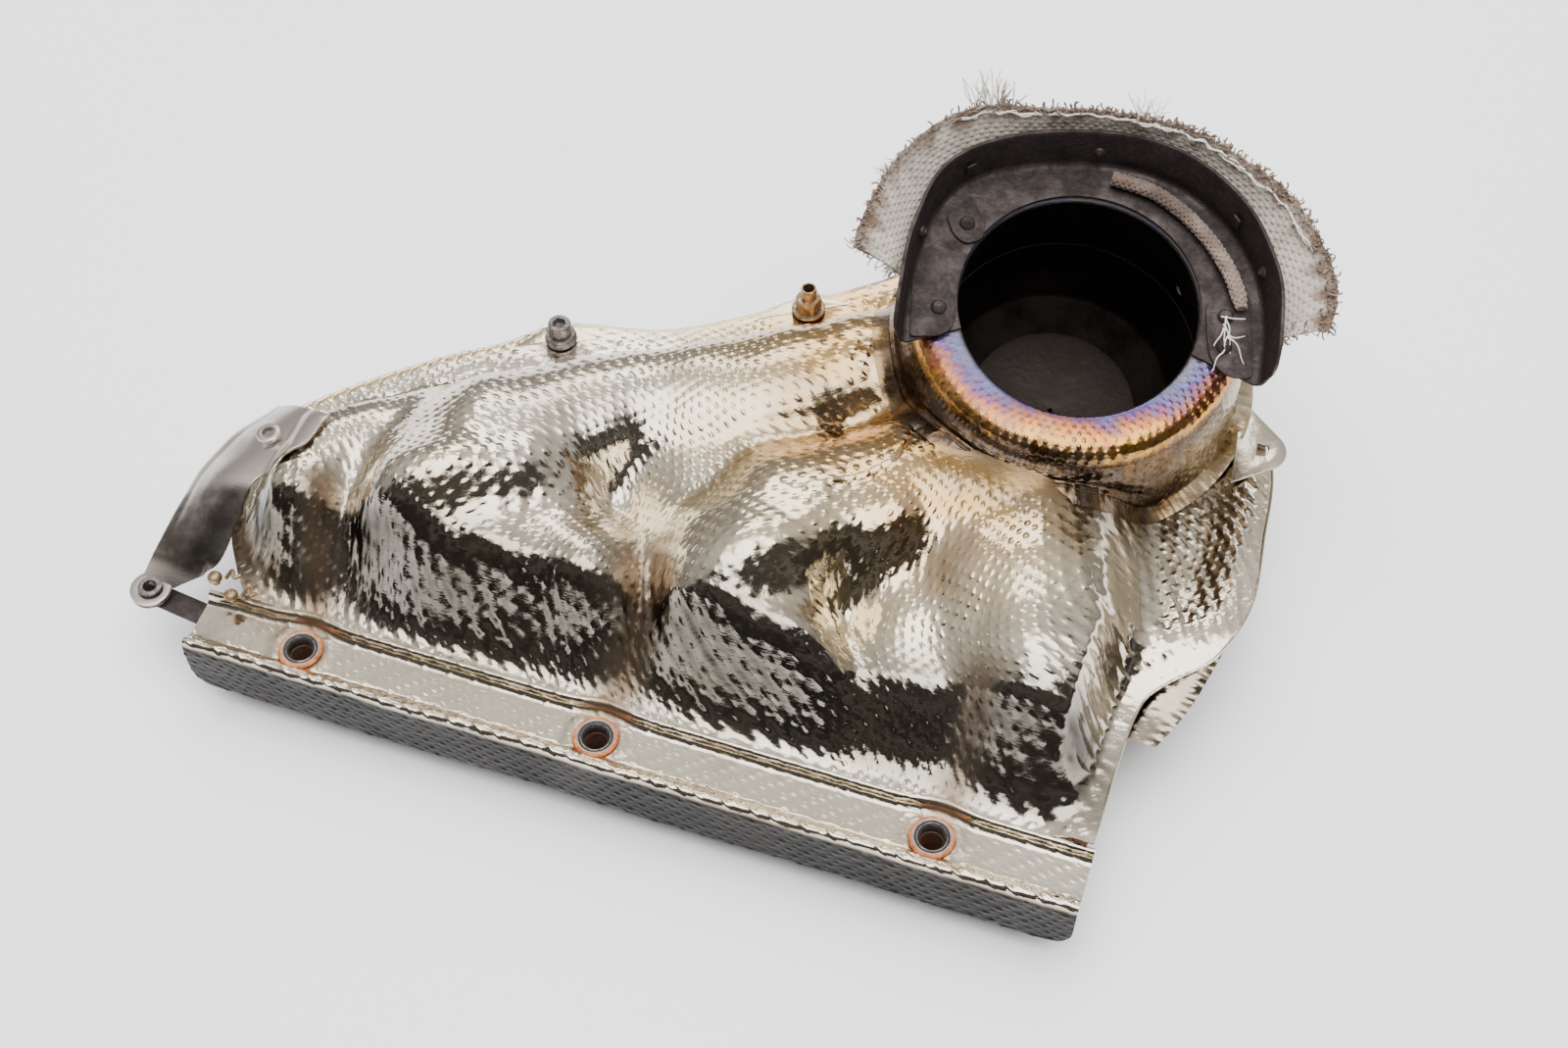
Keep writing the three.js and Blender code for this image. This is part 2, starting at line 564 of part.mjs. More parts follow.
const CAP_RIVET = { x: -179, y: 42 };
function capRivet() {
  const [bore, outer] = [2, 5];
  const body = turned([[bore, -0.2], [outer, 0], [outer, 0.9], [outer - 1.4, 1.5], [bore + 0.6, 1.3], [bore, 0.8]], 16);
  return body.rotateY(-0.1).translate(CAP_RIVET.x, CAP_RIVET.y, 81.6);
}
add('end_cap_rivet', capRivet(), SATIN);

// ---------- rear flange fasteners ----------
// Bush, washer and socket-head screw on the left lug; bush and collar nut on the right one.
add('cap_screw_bush', turned([[3.2, 0], [7, 0], [7, 1.6], [5.6, 2.6], [3.2, 2.6]], 16)
  .translate(CAP_SCREW.x, CAP_SCREW.y, SEAM_Z + GAP), ZINC);
add('cap_screw_washer', turned([[3.2, 0], [6.4, 0], [6.4, 1.2], [3.2, 1.2]], 16)
  .translate(CAP_SCREW.x, CAP_SCREW.y, SEAM_Z + 3.2), ZINC);

function capScrew() {
  const body = turned([[0, -14], [2.9, -14], [2.9, 0], [5, 0], [5, 5.6], [4.6, 6], [0, 6]], 18);
  const socket = new THREE.CylinderGeometry(2.9, 2.9, 4, 6).rotateX(Math.PI / 2).translate(0, 0, 5);
  return cut(body, socket).translate(CAP_SCREW.x, CAP_SCREW.y, SEAM_Z + 4.8);
}
add('cap_screw', capScrew(), ZINC);

function collarNut() {
  const hex = new THREE.CylinderGeometry(5.77, 5.77, 6.5, 6).rotateX(Math.PI / 2).translate(0, 0, 3.25);
  const collar = post(3.4, 6, 12.5, 0, 0, 16);
  const bore = post(2.5, -1, 14, 0, 0, 16);
  return cut(join(hex, collar), bore).translate(COLLAR_NUT.x, COLLAR_NUT.y, SEAM_Z + 2.5);
}
add('collar_nut_washer', turned([[2.7, 0], [7.4, 0], [7.4, 1.3], [2.7, 1.3]], 16)
  .translate(COLLAR_NUT.x, COLLAR_NUT.y, SEAM_Z + 0.9), BRONZE);
add('collar_nut', collarNut(), BRONZE);

// ---------- bracket round the rear of the opening, in the tower's own frame ----------
// Foot of the bracket's wall in plan, from its left front end round the rear to its right front end.
const WALL_LINE = new THREE.CatmullRomCurve3([
  [-73, -17], [-70.5, 2], [-64.5, 25], [-57, 43], [-47, 54], [-31, 61.5], [0, 65], [28, 61], [50, 49],
  [66, 29], [74, 5], [74, -16], [70.5, -37],
].map(([x, y]) => new THREE.Vector3(x, y, 0)), false, 'centripetal');

// Point of the wall's line at a share of its length, with its outward direction in plan.
function wallAt(share) {
  const point = WALL_LINE.getPointAt(clamp01(share));
  const along = WALL_LINE.getTangentAt(clamp01(share));
  return { point, outward: new THREE.Vector3(-along.y, along.x, 0) };
}

const PLATE_TOP = BRACKET.lift + BRACKET.thick;
function bracketPoint(i, j, columns) {
  const share = i / columns;
  const { point, outward } = wallAt(share);
  const inner = point.clone().setLength(BRACKET.inner);
  const ends = Math.min(share, 1 - share);
  const height = BRACKET.wallHeight * mix(0.55, 1, smoothstep(0, 0.035, ends));
  const rows = [
    inner.clone(),
    inner.clone().lerp(point, 0.6),
    point.clone().addScaledVector(outward, -1.8),
    point.clone().addScaledVector(outward, -0.5).setZ(0.5),
    point.clone().setZ(1.8),
    point.clone().addScaledVector(outward, BRACKET.wallFlare * 0.5).setZ(height * 0.55),
    point.clone().addScaledVector(outward, BRACKET.wallFlare).setZ(height),
  ];
  const p = rows[j];
  p.z += PLATE_TOP;
  return p;
}
add('port_bracket', sheetSolid((i, j) => bracketPoint(i, j, 26), 26, 6, BRACKET.thick), DARK, tower);

// Tab plates riveted on the bracket: outline points in plan, last one rounded by its own radius.
const TABS = {
  tab_left: [[-67.8, 9], [-58, 9.5], [-51.5, 4], [-50.5, -4], [-52.5, -10.5], [-58, -15.5], [-69.5, -15.5]],
  tab_rear_left: [[-53, 39.5], [-50.5, 31], [-46, 27.5], [-40, 29], [-37.5, 34], [-39, 40.5], [-42.5, 49]],
  tab_right: [[69.5, 2], [56, 3.5], [52.5, -2], [50.5, -12], [51, -22], [55, -29], [61, -33.5], [67.5, -34]],
};
for (const [name, outline] of Object.entries(TABS)) {
  const shape = new THREE.Shape(outline.map(([x, y]) => new THREE.Vector2(x, y)));
  const plate = new THREE.ExtrudeGeometry(shape, { depth: 1.2, bevelEnabled: false });
  add(name, plate.translate(0, 0, PLATE_TOP + GAP), DARK, tower);
}

function rivet(scale = 1) {
  const section = [[0, 0], [RIVET.head, 0], [RIVET.head, 0.7], [RIVET.head * 0.75, RIVET.rise * 0.7],
    [RIVET.mandrel * 1.35, RIVET.rise], [RIVET.mandrel, RIVET.rise * 0.8], [RIVET.mandrel, RIVET.rise * 1.25],
    [0, RIVET.rise * 1.25]];
  return turned(section.map(([r, z]) => [r * scale, z * scale]), 12);
}
const TAB_RIVETS = [[-57.4, -2.6], [-44.6, 36], [58.6, -7], [57, -20.5]];
TAB_RIVETS.forEach(([x, y], i) => {
  add(`tab_rivet_${i + 1}`, rivet().translate(x, y, PLATE_TOP + 1.8), DARK, tower);
});

// Rivets and clips on the wall's inner face, each at a share of the wall's length and a height.
const WALL_RIVETS = [[0.17, 8], [0.5, 9], [0.83, 8.5]];
const WALL_CLIPS = [[0.3, 10], [0.74, 10]];
function ontoWall(geometry, [share, height], stand) {
  const { point, outward } = wallAt(share);
  const inward = outward.clone().negate();
  const side = new THREE.Vector3(0, 0, 1).cross(inward);
  const basis = new THREE.Matrix4().makeBasis(side, new THREE.Vector3(0, 0, 1), inward);
  const lean = (height / BRACKET.wallHeight) * BRACKET.wallFlare;
  const place = point.clone().addScaledVector(outward, lean - stand).setZ(PLATE_TOP + height);
  return geometry.applyMatrix4(basis.setPosition(place));
}
WALL_RIVETS.forEach((spot, i) => {
  add(`wall_rivet_${i + 1}`, ontoWall(rivet(0.85), spot, 0.9), DARK, tower);
});
WALL_CLIPS.forEach((spot, i) => {
  add(`wall_clip_${i + 1}`, ontoWall(new THREE.BoxGeometry(4.6, 7, 1.2), spot, 2.1), DARK, tower);
});

// ---------- woven rope seal and cloth collar ----------
const ROPE = { width: 3.6, height: 2.6 };
const ropeLine = [[16, 56, 5.4], [33, 49, 5.4], [47, 36.5, 5.4], [57.5, 20.5, 5.6], [63, 5.5, 6.2], [64.5, -5, 6.8]];
function ropeSeal() {
  const section = new THREE.Shape();
  section.absellipse(0, 0, ROPE.height, ROPE.width, 0, Math.PI * 2);
  return sweep(ropeLine, section, 12, 5);
}
add('rope_seal', ropeSeal(), CLOTH_COLOUR, tower);

// How far the cloth flares out and how high it stands, at shares of the wall's length.
const CLOTH_FLARE = [[0, 6], [0.12, 20], [0.26, 14], [0.5, 4], [0.68, 8], [0.84, 20], [0.93, 17], [1, 6]];
const CLOTH_HEIGHT = [[0, 10], [0.12, 16], [0.26, 24], [0.5, 24], [0.72, 22], [0.85, 18], [1, 10]];
const CLOTH_SPAN = [0.1, 0.93];
function clothPoint(i, j, columns, rows) {
  const share = mix(CLOTH_SPAN[0], CLOTH_SPAN[1], i / columns);
  const up = j / rows;
  const { point, outward } = wallAt(share);
  const out = 5 + through(CLOTH_FLARE, share) * up ** 1.4;
  return point.clone().addScaledVector(outward, out).setZ(CLOTH.low + through(CLOTH_HEIGHT, share) * up);
}
add('cloth_collar', sheetSolid((i, j) => clothPoint(i, j, 20, 3), 20, 3, CLOTH.thick), CLOTH_COLOUR, tower);

export default object;
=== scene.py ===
"""Insulated four-runner exhaust manifold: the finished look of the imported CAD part.

Shapes are worked out in millimetres in the part's own frame (+X along the head flange towards the
outlet tower, +Y towards the rear flange, +Z up) and become metres where a mesh is made.
"""

import math

import bpy
import numpy as np
from mathutils import Matrix, Vector


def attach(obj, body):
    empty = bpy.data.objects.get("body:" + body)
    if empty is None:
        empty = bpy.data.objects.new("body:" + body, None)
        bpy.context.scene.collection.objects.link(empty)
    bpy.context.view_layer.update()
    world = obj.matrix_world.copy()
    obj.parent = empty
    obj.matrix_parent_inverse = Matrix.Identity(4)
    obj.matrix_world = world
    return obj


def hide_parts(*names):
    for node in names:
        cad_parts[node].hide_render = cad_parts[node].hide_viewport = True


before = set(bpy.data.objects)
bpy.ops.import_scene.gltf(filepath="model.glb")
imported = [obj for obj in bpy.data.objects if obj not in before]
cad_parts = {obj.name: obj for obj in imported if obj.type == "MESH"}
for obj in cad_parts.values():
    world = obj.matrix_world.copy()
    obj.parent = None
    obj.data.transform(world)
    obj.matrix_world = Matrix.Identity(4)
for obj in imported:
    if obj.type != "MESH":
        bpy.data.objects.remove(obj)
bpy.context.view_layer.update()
MM = 0.001

# ---------- camera ----------
CAMERA_PLACE = (0.19620, -0.40871, 0.79735)
CAMERA_RIGHT = (0.94832, 0.31730, 0.0)
CAMERA_UP = (-0.25992, 0.77682, 0.57358)
CAMERA_BACK = (0.18200, -0.54394, 0.81915)

# ---------- sizes of the shield, as in the CAD part ----------
RAIL_ENDS = (-186, 190)
RAIL_FRONT, RAIL_SKIRT, RAIL_CREST, RAIL_FLOOR, RAIL_RIDGE = -42, 13, 42.8, 40, 44.6
SHELL_START = -14.6
GROMMET_X = (-139, -10, 129)
GROMMET_Y = -28
SEAM_Z = 60
SHELL_FOOT = 44
SHELL_LEFT, SHELL_SPAN, SHELL_WIDEST = -190, 390, 408
FOIL = 0.8
EMBOSS_PITCH, EMBOSS_LENGTH, TOWER_EMBOSS_LENGTH = 5.4, 7.0, 5.6

CAP_SCREW = (-92, 144)
COLLAR_NUT = (6, 194)
LUG = (211.5, 181)

REAR_EDGE = [
    (-192, 64), (-170, 88), (-138, 117), (-113, 135), (-98, 150), (-84, 155), (-50, 163), (-16, 184),
    (0, 199), (16, 208), (33, 222), (60, 248), (90, 267), (120, 273), (150, 268), (175, 251),
    (196, 212), (206, 198), (226, 180),
]
LEFT_EDGE = [(0, -170), (0.12, -179), (0.3, -188), (0.55, -192), (1, -188)]
RIGHT_EDGE = [
    (0, 189), (0.2, 190), (0.29, 193), (0.36, 202), (0.45, 216), (0.6, 224), (0.78, 222),
    (0.9, 220), (1, 214),
]
# Lines that part the shell into three pressings, as [share from the foot to the rear edge, x].
FIRST_PART = [(0, -9), (0.17, -7), (0.27, -17), (0.44, -12), (0.59, 4), (0.68, 30), (0.8, 46), (1, 56)]
SECOND_PART = [(0, 160), (0.14, 162), (0.23, 160), (0.32, 159), (0.39, 155), (0.45, 157), (0.6, 165),
               (1, 190)]

# Each lobe follows one runner: [x, y, height of its axis, radius].
LOBES = [
    [(-152, -14, 34, 16), (-156, 2, 54, 22), (-162, 26, 60, 24), (-158, 50, 60, 22), (-125, 78, 56, 22)],
    [(-62, -16, 34, 22), (-72, -2, 50, 32), (-92, 12, 56, 36), (-100, 40, 62, 37), (-90, 74, 64, 34),
     (-60, 100, 62, 31), (-25, 122, 60, 30), (40, 158, 60, 32), (90, 182, 60, 40)],
    [(-30, -10, 36, 20), (-36, 6, 52, 28), (-38, 24, 56, 30), (-62, 40, 58, 32)],
    [(66, -16, 34, 24), (56, 0, 52, 34), (36, 24, 57, 38), (28, 48, 61, 38), (42, 76, 60, 38),
     (74, 100, 58, 38), (110, 135, 56, 40)],
    [(166, -16, 30, 20), (160, 4, 46, 28), (150, 42, 56, 36), (137, 76, 58, 38), (128, 120, 56, 38)],
    [(108, -10, 32, 18), (104, 20, 44, 26), (98, 60, 50, 32), (100, 100, 52, 36)],
    [(-14, 48, 44, 26), (-6, 88, 48, 30), (12, 122, 50, 32)],
]

# Pressed steps that run diagonally across the lobes, lower on the rail's side.
STEPS = [
    [(-134, 4), (-118, 14), (-78, 40), (-38, 67), (-24, 78)],
    [(4, 8), (16, 16), (47, 38), (84, 66), (98, 78)],
]
STEP_HIGH, STEP_WIDE, STEP_FADE = 4.2, 11, 0.22

# ---------- outlet tower ----------
TOWER_CENTRE = np.array((125.5, 181.0, 122.0))
LEAN, HEADING = math.radians(13.6), math.radians(18.5)
SIDEWAYS = np.array((math.cos(HEADING), math.sin(HEADING), 0.0))
UPWARDS = np.array((
    math.sin(HEADING) * math.sin(LEAN), -math.cos(HEADING) * math.sin(LEAN), math.cos(LEAN)))
REARWARDS = np.cross(UPWARDS, SIDEWAYS)
TOWER_HOLE, TOWER_SHOULDER, TOWER_BASE = 49, 69, 74.4
WALL_RADIUS, WALL_ROWS = 74, 92
AROUND_PITCH = 2 * math.pi * WALL_RADIUS / WALL_ROWS
PLATE_TOP = 1.9


# ---------- small maths on arrays ----------
def mix(a, b, t):
    return a + (b - a) * t


def smoothstep(a, b, x):
    t = np.clip((x - a) / (b - a), 0, 1)
    return t * t * (3 - 2 * t)


def smooth_max(a, b, k):
    d = np.maximum(k - np.abs(a - b), 0) / k
    return np.maximum(a, b) + d * d * k * 0.25


def through(pairs, x):
    """Values at x on a smooth curve through [position, value] pairs."""
    p = np.array(pairs, float)
    x = np.asarray(x, float)
    i = np.clip(np.searchsorted(p[:, 0], x, side="left") - 1, 0, len(p) - 2)
    first, second = p[i], p[i + 1]
    before, after = p[np.maximum(i - 1, 0)], p[np.minimum(i + 2, len(p) - 1)]
    span = second[..., 0] - first[..., 0]
    m0 = (second[..., 1] - before[..., 1]) / (second[..., 0] - before[..., 0]) * span
    m1 = (after[..., 1] - first[..., 1]) / (after[..., 0] - first[..., 0]) * span
    t = np.clip((x - first[..., 0]) / span, 0, 1)
    t2, t3 = t * t, t * t * t
    return ((2 * t3 - 3 * t2 + 1) * first[..., 1] + (t3 - 2 * t2 + t) * m0
            + (3 * t2 - 2 * t3) * second[..., 1] + (t3 - t2) * m1)


def smooth_line(points, count):
    """count points, evenly spaced, on the centripetal curve through the given points."""
    p = np.array(points, float)
    p = np.vstack([2 * p[0] - p[1], p, 2 * p[-1] - p[-2]])
    dense = []
    t = np.linspace(0, 1, 40, endpoint=False)[:, None]
    for a, b, c, d in zip(p, p[1:], p[2:], p[3:]):
        d0, d1, d2 = (max(np.linalg.norm(e) ** 0.5, 1e-4) for e in (b - a, c - b, d - c))
        m0 = ((b - a) / d0 - (c - a) / (d0 + d1) + (c - b) / d1) * d1
        m1 = ((c - b) / d1 - (d - b) / (d1 + d2) + (d - c) / d2) * d1
        dense.append((2 * t**3 - 3 * t**2 + 1) * b + (t**3 - 2 * t**2 + t) * m0
                     + (3 * t**2 - 2 * t**3) * c + (t**3 - t**2) * m1)
    dense = np.vstack(dense + [p[-2:-1]])
    length = np.concatenate([[0], np.cumsum(np.linalg.norm(np.diff(dense, axis=0), axis=1))])
    at = np.linspace(0, length[-1], count)
    return np.stack([np.interp(at, length, dense[:, k]) for k in range(dense.shape[1])], 1)


def line_distance(line, x, y):
    """Distance in plan to a polyline, share along it, and which side (positive to its left)."""
    best = np.full(np.shape(x), 1e9)
    share = np.zeros(np.shape(x))
    side = np.zeros(np.shape(x))
    line = np.array(line, float)
    for k in range(len(line) - 1):
        (ax, ay), (bx, by) = line[k], line[k + 1]
        dx, dy = bx - ax, by - ay
        t = np.clip(((x - ax) * dx + (y - ay) * dy) / (dx * dx + dy * dy), 0, 1)
        d = np.hypot(x - ax - t * dx, y - ay - t * dy)
        nearer = d < best
        best = np.where(nearer, d, best)
        share = np.where(nearer, (k + t) / (len(line) - 1), share)
        side = np.where(nearer, np.sign(dx * (y - ay) - dy * (x - ax)), side)
    return best, share, side


def ripple(x, y, seed, size):
    """Gentle uneven value between about -1 and 1 with features of the given size."""
    turn = np.random.default_rng(seed).uniform(0, 2 * math.pi, 8)
    total = 0
    for k in range(4):
        step = (1.0 + 0.37 * k) * 2 * math.pi / size
        total = total + np.sin(x * step * math.cos(turn[k]) + y * step * math.sin(turn[k]) + turn[k + 4])
    return total / 2.6


# ---------- the shield's shape ----------
def rear_edge(x):
    return through(REAR_EDGE, x)


def lobe_height(lobe, x, y):
    best = np.full(np.shape(x), -1e3)
    for (ax, ay, az, ar), (bx, by, bz, br) in zip(lobe, lobe[1:]):
        t = np.clip(((x - ax) * (bx - ax) + (y - ay) * (by - ay)) / ((bx - ax) ** 2 + (by - ay) ** 2), 0, 1)
        d = np.hypot(x - mix(ax, bx, t), y - mix(ay, by, t))
        r = mix(ar, br, t)
        near = np.minimum(d, 0.9 * r)
        z = mix(az, bz, t) + np.sqrt(r * r - near * near) - 2.065 * np.maximum(0, d - 0.9 * r)
        best = smooth_max(best, z, 5)
    return best


def right_rim(y):
    return mix(SHELL_FOOT + 4, SEAM_Z, smoothstep(45, 90, y))


def left_rim(y):
    return mix(SHELL_FOOT + 2, SEAM_Z, smoothstep(0, 60, y))


def step_height(x, y):
    """Height that the pressed steps add at points of the shell."""
    total = np.zeros(np.shape(x))
    for line in STEPS:
        reach, share, side = line_distance(line, x, y)
        offset = reach * side / STEP_WIDE
        fade = smoothstep(0, STEP_FADE, share) * smoothstep(0, STEP_FADE, 1 - share)
        total = total + STEP_HIGH * fade * offset * np.exp(0.5 - 0.5 * offset * offset)
    return total


def shell_height(x, y, across):
    back = rear_edge(x) - y
    z = mix(SHELL_FOOT, SEAM_Z - 4, smoothstep(-10, 60, y))
    for lobe in LOBES:
        z = smooth_max(z, lobe_height(lobe, x, y), 26)
    z = mix(SHELL_FOOT, z + step_height(x, y), smoothstep(-14, 22, y))
    z = mix(SEAM_Z, z, smoothstep(9, 34, back))
    z = mix(right_rim(y), z, smoothstep(6, 25, (1 - across) * SHELL_SPAN))
    for seat in (CAP_SCREW, COLLAR_NUT):
        z = mix(SEAM_Z, z, smoothstep(15, 27, np.hypot(x - seat[0], y - seat[1])))
    return mix(left_rim(y), z, smoothstep(2, 24, across * SHELL_SPAN))


def tower_place(x, y, z):
    """Points given in the leaning tower's own frame, in the part's frame."""
    return (TOWER_CENTRE + np.asarray(x)[..., None] * SIDEWAYS + np.asarray(y)[..., None] * REARWARDS
            + np.asarray(z)[..., None] * UPWARDS)


def tower_radius(x, y, z):
    """Distance from the tower's axis and angle round it."""
    local = np.stack([x, y, z], -1) - TOWER_CENTRE
    a, b = local @ SIDEWAYS, local @ REARWARDS
    return np.hypot(a, b), np.arctan2(b, a)


# ---------- meshes ----------
def grid_faces(rows, columns, wrap=False):
    i, j = np.meshgrid(np.arange(columns if wrap else columns - 1), np.arange(rows - 1))
    a, b = j * columns + i, j * columns + (i + 1) % columns
    return np.stack([a, b, b + columns, a + columns], -1).reshape(-1, 4)


def in_scene(name, mesh):
    piece = bpy.data.objects.new(name, mesh)
    bpy.context.scene.collection.objects.link(piece)
    return piece


def make_piece(name, points, faces, material=None, values=None):
    """A mesh object from points in millimetres; values are named numbers on its points."""
    mesh = bpy.data.meshes.new(name)
    mesh.from_pydata((np.asarray(points, float).reshape(-1, 3) * MM).tolist(), [], [list(f) for f in faces])
    for key, numbers in (values or {}).items():
        stored = mesh.attributes.new(key, "FLOAT", "POINT")
        stored.data.foreach_set("value", np.asarray(numbers, np.float32).ravel())
    mesh.polygons.foreach_set("use_smooth", [True] * len(mesh.polygons))
    if material:
        mesh.materials.append(material)
    mesh.update()
    return in_scene(name, mesh)


def facing_points(name, spots, facing):
    """Bare points, each with the direction that a node tree turns its small shape to."""
    mesh = bpy.data.meshes.new(name)
    mesh.from_pydata((np.array(spots) * MM).tolist(), [], [])
    stored = mesh.attributes.new("facing", "FLOAT_VECTOR", "POINT")
    stored.data.foreach_set("vector", np.array(facing, np.float32).ravel())
    return in_scene(name, mesh)


def settle(piece, sharp=40):
    """Turns a piece with its modifiers into a plain mesh, with its corners left crisp."""
    graph = bpy.context.evaluated_depsgraph_get()
    mesh = bpy.data.meshes.new_from_object(piece.evaluated_get(graph), depsgraph=graph)
    mesh.name = piece.name
    piece.modifiers.clear()
    piece.data = mesh
    mesh.polygons.foreach_set("use_smooth", [True] * len(mesh.polygons))
    mesh.set_sharp_from_angle(angle=math.radians(sharp))
    return piece


def thicken(piece, thickness, offset=-1):
    wall = piece.modifiers.new("wall", "SOLIDIFY")
    wall.thickness = thickness * MM
    wall.offset = offset
    return piece


def soften(piece, width, segments=2, angle=35):
    edge = piece.modifiers.new("edge", "BEVEL")
    edge.width = width * MM
    edge.segments = segments
    edge.limit_method = "ANGLE"
    edge.angle_limit = math.radians(angle)
    return piece


def place(piece, slot, *nodes):
    """Rides the piece on the one body and hides the CAD nodes it stands for; its slot is not used."""
    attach(piece, "root")
    if nodes:
        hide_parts(*nodes)
    return piece


def frames_along(path):
    """A sideways and an upright direction at each point of a path, carried along without twist."""
    along = np.gradient(path, axis=0)
    along /= np.linalg.norm(along, axis=1)[:, None]
    side = np.cross(along[0], (0, 0, 1) if abs(along[0][2]) < 0.9 else (1, 0, 0))
    sides = []
    for direction in along:
        side = side - direction * (side @ direction)
        side = side / np.linalg.norm(side)
        sides.append(side)
    sides = np.array(sides)
    return sides, np.cross(sides, along)


def tube(path, radius, sides, squeeze=1.0, inner=None):
    """Points and faces of a closed round bar, or of a pipe where inner is its bore radius."""
    path = np.asarray(path, float)
    across, upright = frames_along(path)
    angle = np.linspace(0, 2 * math.pi, sides, endpoint=False)
    radius = np.broadcast_to(np.asarray(radius, float), (len(path),))

    def rings(r):
        return (path[:, None] + across[:, None] * (np.cos(angle) * r[:, None])[..., None]
                + upright[:, None] * (np.sin(angle) * r[:, None] * squeeze)[..., None])

    outside = rings(radius).reshape(-1, 3)
    faces = [f[::-1] for f in grid_faces(len(path), sides, wrap=True)]
    last = (len(path) - 1) * sides
    if inner is None:
        faces += [list(range(sides)), list(range(last, last + sides))[::-1]]
        return outside, faces
    inside = rings(np.broadcast_to(np.asarray(inner, float), (len(path),))).reshape(-1, 3)
    count = len(outside)
    faces += [np.array(f) + count for f in grid_faces(len(path), sides, wrap=True)]
    for k in range(sides):
        n = (k + 1) % sides
        faces += [(k, n, count + n, count + k), (last + n, last + k, count + last + k, count + last + n)]
    return np.vstack([outside, inside]), faces


def gather(parts):
    """One set of points and faces from several."""
    points, faces, start = [], [], 0
    for p, f in parts:
        points.append(p)
        faces += [[int(v) + start for v in face] for face in f]
        start += len(p)
    return np.vstack(points), faces


def turned(profile, sides):
    """Points and faces of a turned solid about Z; profile is a closed [radius, z] line, anticlockwise."""
    profile = np.array(profile, float)
    angle = np.linspace(0, 2 * math.pi, sides, endpoint=False)
    points, rings, faces = [], [], []
    for r, z in profile:
        if r < 1e-6:
            rings.append([len(points)] * sides)
            points.append((0, 0, z))
        else:
            rings.append(list(range(len(points), len(points) + sides)))
            points += [(r * math.cos(a), r * math.sin(a), z) for a in angle]
    open_ended = profile[0][0] < 1e-6 and profile[-1][0] < 1e-6
    pairs = list(zip(rings, rings[1:])) + ([] if open_ended else [(rings[-1], rings[0])])
    for low, high in pairs:
        for k in range(sides):
            n = (k + 1) % sides
            face = [low[k], low[n], high[n], high[k]]
            face = [v for i, v in enumerate(face) if v != face[i - 1]]
            if len(face) > 2:
                faces.append(face)
    return np.array(points), faces


def prism(outline, z0, z1):
    """Points and faces of a plate between two heights, from an anticlockwise outline."""
    outline = np.array(outline, float)
    count = len(outline)
    points = np.vstack([np.column_stack([outline, np.full(count, z)]) for z in (z0, z1)])
    faces = [list(range(count))[::-1], list(range(count, 2 * count))]
    faces += [(k, (k + 1) % count, count + (k + 1) % count, count + k) for k in range(count)]
    return points, faces


def rounded(outline, radius, steps):
    """An outline with each corner rounded by its radius."""
    outline = np.array(outline, float)
    radii = np.broadcast_to(np.asarray(radius, float), (len(outline),))
    result = []
    for k, corner in enumerate(outline):
        a, b = outline[k - 1] - corner, outline[(k + 1) % len(outline)] - corner
        reach = min(radii[k], 0.45 * np.linalg.norm(a), 0.45 * np.linalg.norm(b))
        start, end = corner + a / np.linalg.norm(a) * reach, corner + b / np.linalg.norm(b) * reach
        for t in np.linspace(0, 1, steps):
            result.append((1 - t) ** 2 * start + 2 * t * (1 - t) * corner + t * t * end)
    return np.array(result)


def moved(part, x, y, z):
    return part[0] + np.array((x, y, z)), part[1]


def on_tower(part):
    points, faces = part
    return tower_place(points[:, 0], points[:, 1], points[:, 2]), faces


